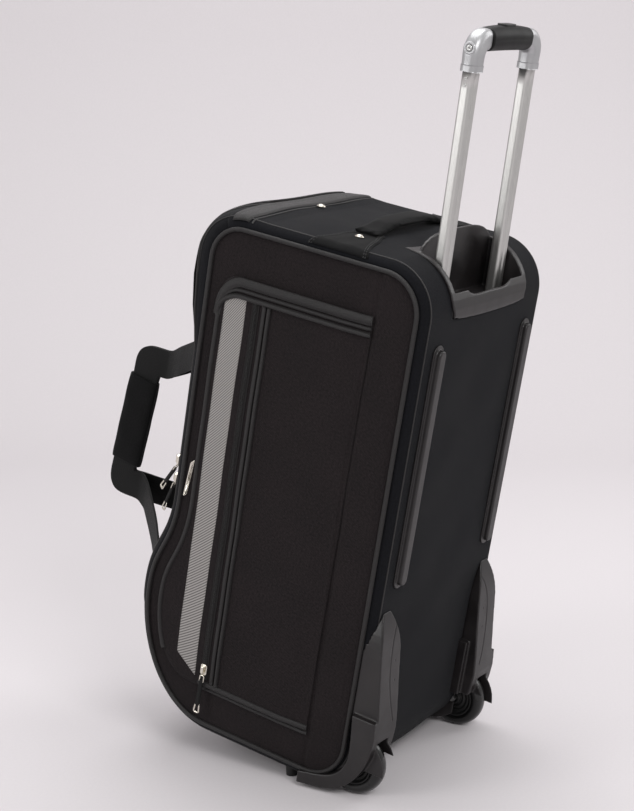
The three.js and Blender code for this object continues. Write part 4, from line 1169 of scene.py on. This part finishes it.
def addBadge():
    # bright narrow plate with a raised rim and a sunk face
    y0, z0, x0 = -278, 310, 142.9
    corners = np.array([[-6, -25], [0, -21], [6, 25], [0, 21]], float)
    line = resample(corners, 96, closed=True)
    for _ in range(3):
        line = (np.roll(line, 1, 0) + 2 * line + np.roll(line, -1, 0)) / 4
    rings = []
    for scale, lift in ((1, 0), (1, 1.0), (0.94, 1.4), (0.80, 1.4), (0.74, 0.9), (0.01, 0.9)):
        shrunk = line * [scale, 1 - (1 - scale) * 0.35 if scale > 0.5 else scale]
        base = sidePoint(y0 + shrunk[:, 0], z0 + shrunk[:, 1], 1)
        rings.append(base + [lift + 0.3, 0, 0])
    rings = [rings[0] - [0.25, 0, 0]] + rings
    addGrid("badge_plate", np.array(rings), finishes["nickel"], "bag", "nickel", closedV=True, caps=True,
            replaces=("badge",))


addBadge()
print("pulls and badge made")


# Carry straps: flat webbing folded at the corners of the grip

hingeAxis = np.array(joints["carry_right_hinge"]["axis"])
hingeLean = (hingeAxis @ bagBack) / (hingeAxis @ bagUp)
strap = dict(thick=2.5, offset=1.75, half=19, wrapHalf=23, wrapLength=120, wrapProud=8.0)


def addStrap(name, sign):
    # outer and inner edges of the webbing, from the upper anchor round the grip to the lower one
    x = strap["offset"]
    stations = [
        ((104.5, -310.5, 471), (104.5, -310.5, 433)), ((104, -310.5, 471), (104, -310.5, 433)),
        ((98, -317, 469), (98, -317, 431)),
        ((78, -338, 455), (78, -338, 418)), ((40, -384, 429), (40, -384, 391)), ((14, -412, 412), (14, -412, 374)),
        ((x, -428, 403), (x, -428, 366)), ((x, -445, 403), (x, -439, 366)),
        ((x, -462, 402.5), (x, -441, 365)),
        ((x, -474, 396), (x, -441, 364)), ((x, -479.5, 384), (x, -441.5, 362)), ((x, -481, 362), (x, -443, 356)),
        ((x, -497, 236), (x, -459, 238)), ((x, -499, 218), (x, -461, 232)), ((x, -497.5, 205), (x, -460, 230)),
        ((x, -489, 194.5), (x, -457, 230)), ((x, -474, 192.5), (x, -452, 230.5)), ((x, -450, 193), (x, -446, 231)),
        ((12, -431, 189), (12, -431, 227)), ((40, -399, 179), (40, -399, 217)), ((78, -361, 168), (78, -361, 206)),
        ((98, -342, 161), (98, -342, 199)), ((104, -337, 159.5), (104, -337, 197)), ((104.5, -337, 160), (104.5, -337, 197)),
    ]
    outer, inner = np.array([s[0] for s in stations], float), np.array([s[1] for s in stations], float)
    steps = np.r_[0, np.cumsum(np.linalg.norm(np.diff((outer + inner) / 2, axis=0), axis=1) + 2)]
    even = np.linspace(0, steps[-1], 240)
    edges = []
    for edge in (outer, inner):
        line = np.stack([np.interp(even, steps, edge[:, k]) for k in range(3)], -1)
        for _ in range(5):
            line[1:-1] = (line[:-2] + 2 * line[1:-1] + line[2:]) / 4
        edges.append(line)
    t = np.linspace(0, 1, 13)[None, :, None]
    grid = edges[0][:, None] + (edges[1] - edges[0])[:, None] * t
    # webbing between its supports sags a little and ripples
    free = bump(np.linspace(0, 1, 240), 0.14, 0.14) + bump(np.linspace(0, 1, 240), 0.86, 0.14)
    grid[..., 0] += (1.2 * free * np.sin(np.linspace(0, 40, 240)))[:, None] * np.abs(t[0, :, 0] - 0.5)[None]
    grid[..., 0] = np.maximum(grid[..., 0], strap["offset"])
    grid = grid * [sign, 1, 1]
    ribbon = addGrid(f"carry_strap_{name}_webbing", grid, finishes["webbing"], None, "webbing", facing=(sign, 0, 0),
                     replaces=(f"carry_strap_{name}",))
    thicken(ribbon, strap["thick"], 0)
    bevel = ribbon.modifiers.new("soft_edge", "BEVEL")
    bevel.width = 0.7 * mm
    bevel.segments = 2
    bevel.limit_method = "ANGLE"
    bake(ribbon)
    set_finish(ribbon, "webbing")
    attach(ribbon, f"carry_{name}")

    # half of the wrap: a padded cloth closed round the webbing
    centre = np.array([0, -470.0, 298.0])
    down = np.array([0, -20.0, -172.0]) / math.hypot(20, 172)
    across = np.array([0, -down[2], down[1]])
    at = np.linspace(-60, 60, 46)
    turn = np.linspace(0, math.pi, 30)
    puff = 1 - 0.22 * (np.abs(at) / 60) ** 10
    dent = 0.35 * np.sin(at / 7.5)[:, None] * np.sin(turn * 3)[None]
    wide = np.sign(np.cos(turn)) * np.abs(np.cos(turn)) ** 0.55 * strap["wrapHalf"]
    thick = 0.35 + np.sin(turn) ** 0.7 * (strap["wrapProud"] - 0.4)
    reach = wide[None] * (1 - 0.02 * (np.abs(at) / 60)[:, None] ** 8)
    proud = thick[None] * puff[:, None] + dent * (thick > 1)
    points = centre + down * at[:, None, None] + across * reach[..., None]
    points = points + np.array([sign, 0, 0]) * proud[..., None]
    wrap = addGrid(f"grip_wrap_{name}", points, finishes["pad"], None, "webbing", facing=(sign, 0, 0),
                   replaces=(f"grip_pad_{name}",))
    thicken(wrap, 2.4)
    bake(wrap)
    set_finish(wrap, "webbing")
    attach(wrap, f"carry_{name}")

    # sewn tabs on the lid beside both ends
    for label, z0 in (("upper", 452), ("lower", 178)):
        zz = np.linspace(z0 - 21, z0 + 21, 16)
        xx = sign * np.linspace(98, 118, 14)
        s = np.array([along(-330, z) for z in zz])
        tabGrid = casePoint(s[:, None], xx[None] + 0 * s[:, None], 1.3)
        tab = addGrid(f"strap_tab_{name}_{label}", tabGrid, finishes["webbing"], None, "webbing",
                      facing=(0, -1, 0))
        thicken(tab, 1.1)
        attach(tab, "lid")
        # the fold that the strap turns on
        z = np.linspace(z0 - 18, z0 + 18, 12)
        y = -308 + (z - 452) * hingeLean
        fold = np.stack([np.full(12, sign * 104.0), y + 2.4, z], -1)
        addSweep(f"strap_fold_{name}_{label}", fold, (0, -1, 0), roundedBox(2.1, 6.6, 0.9, 4),
                 finishes["webbing"], "lid", "webbing")


for name, sign in (("right", 1), ("left", -1)):
    addStrap(name, sign)
print("straps made")


# Top: haul handle, its patches and rivets, and the flap in front of them

haul = dict(
    at=-125, halfWidth=18, halfLength=84, thick=8.5, patchStart=70, patchEnd=140.5, voxel=3.0, pressure=4.0, cap=2.2,
)


def topPoint(y, x, lift):
    # bag-frame point on the top at a depth y, at a lift off its cloth
    s = np.interp(-np.asarray(y, float), [58, 248], [along(-58, 634), along(-248, 634)])
    return casePoint(s, x, lift)


def addFlap():
    # raised cloth between the top panel's seam and the zip
    x = np.linspace(-139, 139, 120)
    start = along(-246, 634)
    wave = 2.2 * np.sin(x / 24)
    s = start + np.linspace(0, openTop - start - 9.5, 26)[:, None] + wave[None] * np.linspace(1, 0, 26)[:, None]
    edge = smoothStep(np.linspace(0, 1, 26), 0, 0.12)[:, None]
    grid = casePoint(s, x[None] + 0 * s, 0.5 + 1.7 * edge)
    flap = addGrid("top_flap", grid, finishes["cord"], None, "case_fabric", facing=tuple(bagUp))
    thicken(flap, 0.9)
    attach(flap, "bag")
    s = start - 4 + wave
    ridge, over = casePoint(s, x, 0.2), casePoint(s, x, 1.2) - casePoint(s, x, 0.2)
    addSweep("top_seam", ridge, over, roundProfile(2.6, 1.6, 8), finishes["cord"], "bag", "case_fabric")


def domedRivet(name, x, y, lift, node=None):
    # a low dome on a thin flange
    base = topPoint(y, x, lift)
    up = topPoint(y, x, lift + 1) - base
    sideways = np.cross(up, [0, 1, 0])
    sideways /= np.linalg.norm(sideways)
    forward = np.cross(up, sideways)
    turn = np.linspace(0, 2 * math.pi, 40, endpoint=False)
    rings = []
    for radius, high in ((5.4, 0), (5.4, 0.5), (4.3, 0.7), (4.0, 1.2), (3.2, 1.9), (1.8, 2.3), (0.4, 2.45)):
        circle = np.cos(turn)[:, None] * sideways + np.sin(turn)[:, None] * forward
        rings.append(base + up * high + radius * circle)
    addGrid(name, np.array(rings), finishes["nickel"], "bag", "nickel", closedV=True, caps=True,
            replaces=(node,) if node else ())


def addPatch(name, sign):
    # its sides curve inward and spread towards the piping
    x = np.linspace(haul["patchStart"], haul["patchEnd"], 60)
    t = (x - haul["patchStart"]) / (haul["patchEnd"] - haul["patchStart"])
    halfWidth = 18.5 + 6 * smoothStep(t, 0.05, 0.4) + 15 * t ** 2.6
    across = np.linspace(-1, 1, 34)
    y = haul["at"] + halfWidth[:, None] * across[None]
    rounded = 1 - np.abs(across) ** 14
    wrinkle = 0.3 * np.sin(y / 5 + x[:, None] / 11) * (1 - across ** 2)[None]
    grid = topPoint(y, sign * x[:, None] + 0 * y, 0.5 + 1.4 * rounded[None] + wrinkle)
    patch = addGrid(f"haul_patch_{name}_cloth", grid, finishes["pad"], None, "webbing", facing=tuple(bagUp),
                    replaces=(f"haul_patch_{name}",))
    thicken(patch, 1.2)
    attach(patch, "bag")
    for row, inset in enumerate((3.0, 5.6)):
        for way in (-1, 1):
            line = topPoint(haul["at"] + way * (halfWidth - inset), sign * x, 2.1)
            normal = topPoint(haul["at"] + way * (halfWidth - inset), sign * x, 3.1) - line
            stitches(f"haul_stitch_{name}_{row}_{'front' if way < 0 else 'back'}", line, normal, "webbing")
    domedRivet(f"haul_rivet_{name}_dome", sign * 97, haul["at"], 2.4, f"haul_rivet_{name}")


def stitches(name, line, up, slotName, body="bag", length=2.6, pitch=4.0, thick=0.55):
    # short raised threads along a line, one oval bead each
    total = np.linalg.norm(np.diff(line, axis=0), axis=1).sum()
    count = max(int(total / pitch), 2)
    centre = resample(line, count)
    normal = resample(up, count)
    ahead, across, over = frameAlong(centre, normal)
    turn = np.linspace(0, 2 * math.pi, 6, endpoint=False)
    ends = np.array([-1, -0.55, 0.55, 1]) * length / 2
    size = np.array([0.25, 1, 1, 0.25]) * thick
    points = centre[:, None, None] + ahead[:, None, None] * ends[None, :, None, None] \
        + across[:, None, None] * (np.cos(turn)[None, None, :, None] * size[None, :, None, None]) \
        + over[:, None, None] * (np.sin(turn)[None, None, :, None] * size[None, :, None, None] * 0.7)
    i, j = np.meshgrid(np.arange(3), np.arange(6), indexing="ij")
    i, j = i.ravel(), j.ravel()
    quads = np.stack([i * 6 + j, (i + 1) * 6 + j, (i + 1) * 6 + (j + 1) % 6, i * 6 + (j + 1) % 6], -1)
    faces = (quads[None] + np.arange(count)[:, None, None] * 24).reshape(-1, 4)
    uvs = np.zeros((len(faces), 4, 2))
    return addMesh(name, toFrame(points.reshape(-1, 3)), [faces], [uvs], finishes["thread"], body, slotName)


def inflate(piece, voxel, pressure, cap):
    # cloth blown up from within: every point may move no further than the cap, then the surface is smoothed once
    bpy.context.view_layer.objects.active = piece
    remesh = piece.modifiers.new("remesh", "REMESH")
    remesh.mode = "VOXEL"
    remesh.voxel_size = voxel * mm
    bake(piece)
    count = len(piece.data.vertices)
    before = np.zeros(count * 3)
    piece.data.vertices.foreach_get("co", before)
    cloth = piece.modifiers.new("cloth", "CLOTH")
    cloth.settings.use_pressure = True
    cloth.settings.uniform_pressure_force = pressure
    cloth.settings.effector_weights.gravity = 0
    for number in range(1, 21):
        bpy.context.scene.frame_set(number)
    held = piece.evaluated_get(bpy.context.evaluated_depsgraph_get())
    after = np.zeros(count * 3)
    held.data.vertices.foreach_get("co", after)
    bpy.context.scene.frame_set(1)
    piece.modifiers.remove(cloth)
    move = (after - before).reshape(-1, 3)
    far = np.linalg.norm(move, axis=1)[:, None]
    move *= np.minimum(1, cap * mm / np.maximum(far, 1e-9))
    piece.data.vertices.foreach_set("co", (before.reshape(-1, 3) + move).ravel())
    subdivide = piece.modifiers.new("smooth", "SUBSURF")
    subdivide.levels = subdivide.render_levels = 1
    bake(piece)
    piece.data.polygons.foreach_set("use_smooth", np.ones(len(piece.data.polygons), bool))


def addHaul():
    # a flat padded strip that rises from the patches by a smooth step on each side
    x = np.linspace(-haul["halfLength"], haul["halfLength"], 80)
    t = np.abs(x) / haul["halfLength"]
    ground = topPoint(haul["at"] + 0 * x, x, 3.2)
    rise = smoothStep(1 - t, 0.0, 0.62)
    path = ground + (topPoint(haul["at"] + 0 * x, x, 3.2 + 8.0) - ground) * rise[:, None]
    profile = resample(roundedBox(2 * haul["halfWidth"] - 3, haul["thick"] - 3.6, 2.2, 5), 60, closed=True)
    strip = addSweep("haul_handle_padded", path, (0, 0, 1), profile, finishes["pad"], None, "webbing",
                     replaces=("haul_handle",))
    weld(strip)
    inflate(strip, haul["voxel"], haul["pressure"], haul["cap"])
    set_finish(strip, "webbing")
    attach(strip, "bag")


finishes["thread"] = clothMaterial("sewing_thread", (0.016, 0.0155, 0.016), (0.040, 0.039, 0.040), 0.0006, sheen=0.2)
addFlap()
for name, sign in (("right", 1), ("left", -1)):
    addPatch(name, sign)
addHaul()
domedRivet("flap_rivet", 0, -238, 2.0)
print("top made")


# Any CAD piece still showing takes a procedural finish of its own

finishOfSlot = dict(
    case_fabric="band", board="black", silver_cloth="silver", zip_tape="tape", webbing="webbing", nickel="nickel",
    steel="steel", polyurethane="tyre", black_plastic="black", grey_plastic="grey", anodised_tube="tube",
    silver_paint="paint", soft_grip="grip",
)
for name, piece in frame["nodes"].items():
    slotName = piece.get("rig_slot")
    if piece.data.materials and not piece.hide_render:
        before = piece.data.materials[0].name.split(".")[0]
        finish = finishOfSlot.get(before.replace("slot_", ""), None) or finishOfSlot.get(slotName, "black")
        for place in piece.material_slots:
            place.link = "OBJECT"
            place.material = finishes[finish]


# Floor, light and camera

def addBackdrop():
    # floor that curves up into the wall behind
    material, tree, shader = newMaterial("backdrop_paper", (0.62, 0.59, 0.605), 0.7, specular=0.2)
    lie = lieOf(tree, uv=False)
    grain = noiseOf(tree, lie, 0.004, 3)
    tree.links.new(mixColour(tree, grain, (0.60, 0.572, 0.588), (0.64, 0.612, 0.628)), shader.inputs["Base Color"])
    away = -cameraBack * np.array([1, 1, 0])
    away /= np.linalg.norm(away)
    across = np.array([-away[1], away[0], 0])
    turn = np.linspace(0, math.pi / 2, 24)
    run = np.r_[-2.6, 1.4 + np.sin(turn) * 0.9, 2.3]
    rise = np.r_[0, 0.9 - np.cos(turn) * 0.9, 4.2]
    wide = np.linspace(-3.4, 3.4, 12)
    points = away[None, None] * run[:, None, None] + across[None, None] * wide[None, :, None] \
        + np.array([0, 0, 1.0])[None, None] * rise[:, None, None]
    mesh = bpy.data.meshes.new("backdrop")
    n, m = points.shape[:2]
    faces = [(i * m + j, (i + 1) * m + j, (i + 1) * m + j + 1, i * m + j + 1)
             for i in range(n - 1) for j in range(m - 1)]
    mesh.from_pydata(points.reshape(-1, 3).tolist(), [], faces)
    mesh.polygons.foreach_set("use_smooth", np.ones(len(faces), bool))
    floor = bpy.data.objects.new("backdrop", mesh)
    if mesh.polygons[0].normal.z < 0:
        mesh.flip_normals()
    mesh.materials.append(material)
    bpy.context.scene.collection.objects.link(floor)


def addLight(name, place, target, size, power, colour=(1, 1, 1)):
    data = bpy.data.lights.new(name, "AREA")
    data.shape = "RECTANGLE"
    data.size, data.size_y = size
    data.energy = power
    data.color = colour
    light = bpy.data.objects.new(name, data)
    light.location = place
    aim = Vector(target) - Vector(place)
    light.rotation_euler = aim.to_track_quat("-Z", "Y").to_euler()
    bpy.context.scene.collection.objects.link(light)


view = dict(
    place=(1.8208, 1.18984, 0.8945), right=(-0.5356, 0.8444, -0.0005), up=(-0.1795, -0.1132, 0.9772), lens=80.09,
)
cameraBack = np.array([0.8252, 0.5235, 0.2122])


def addCamera():
    data = bpy.data.cameras.new("camera")
    data.lens = view["lens"]
    data.sensor_width = 36
    camera = bpy.data.objects.new("camera", data)
    turn = Matrix((view["right"], view["up"], tuple(cameraBack))).transposed().to_4x4()
    camera.matrix_world = Matrix.Translation(view["place"]) @ turn
    bpy.context.scene.collection.objects.link(camera)
    bpy.context.scene.camera = camera


def addWorld():
    world = bpy.data.worlds.new("world")
    world.use_nodes = True
    background = world.node_tree.nodes["Background"]
    background.inputs[0].default_value = (1.0, 0.985, 0.98, 1)
    background.inputs[1].default_value = 0.58
    bpy.context.scene.world = world


addBackdrop()
addLight("key", (1.5, 2.3, 2.3), (0, 0, 0.4), (1.3, 1.3), 46)
addLight("side", (2.6, -1.4, 1.5), (0, -0.05, 0.35), (1.2, 1.8), 30)
addLight("top", (-0.5, -0.2, 2.6), (0, 0, 0.3), (1.6, 1.6), 34)
addLight("back", (-1.8, 1.4, 1.6), (0, 0.1, 0.5), (1.0, 1.6), 14)
addCamera()
addWorld()
bpy.context.scene.view_settings.view_transform = "Standard"

print("stage and camera set")
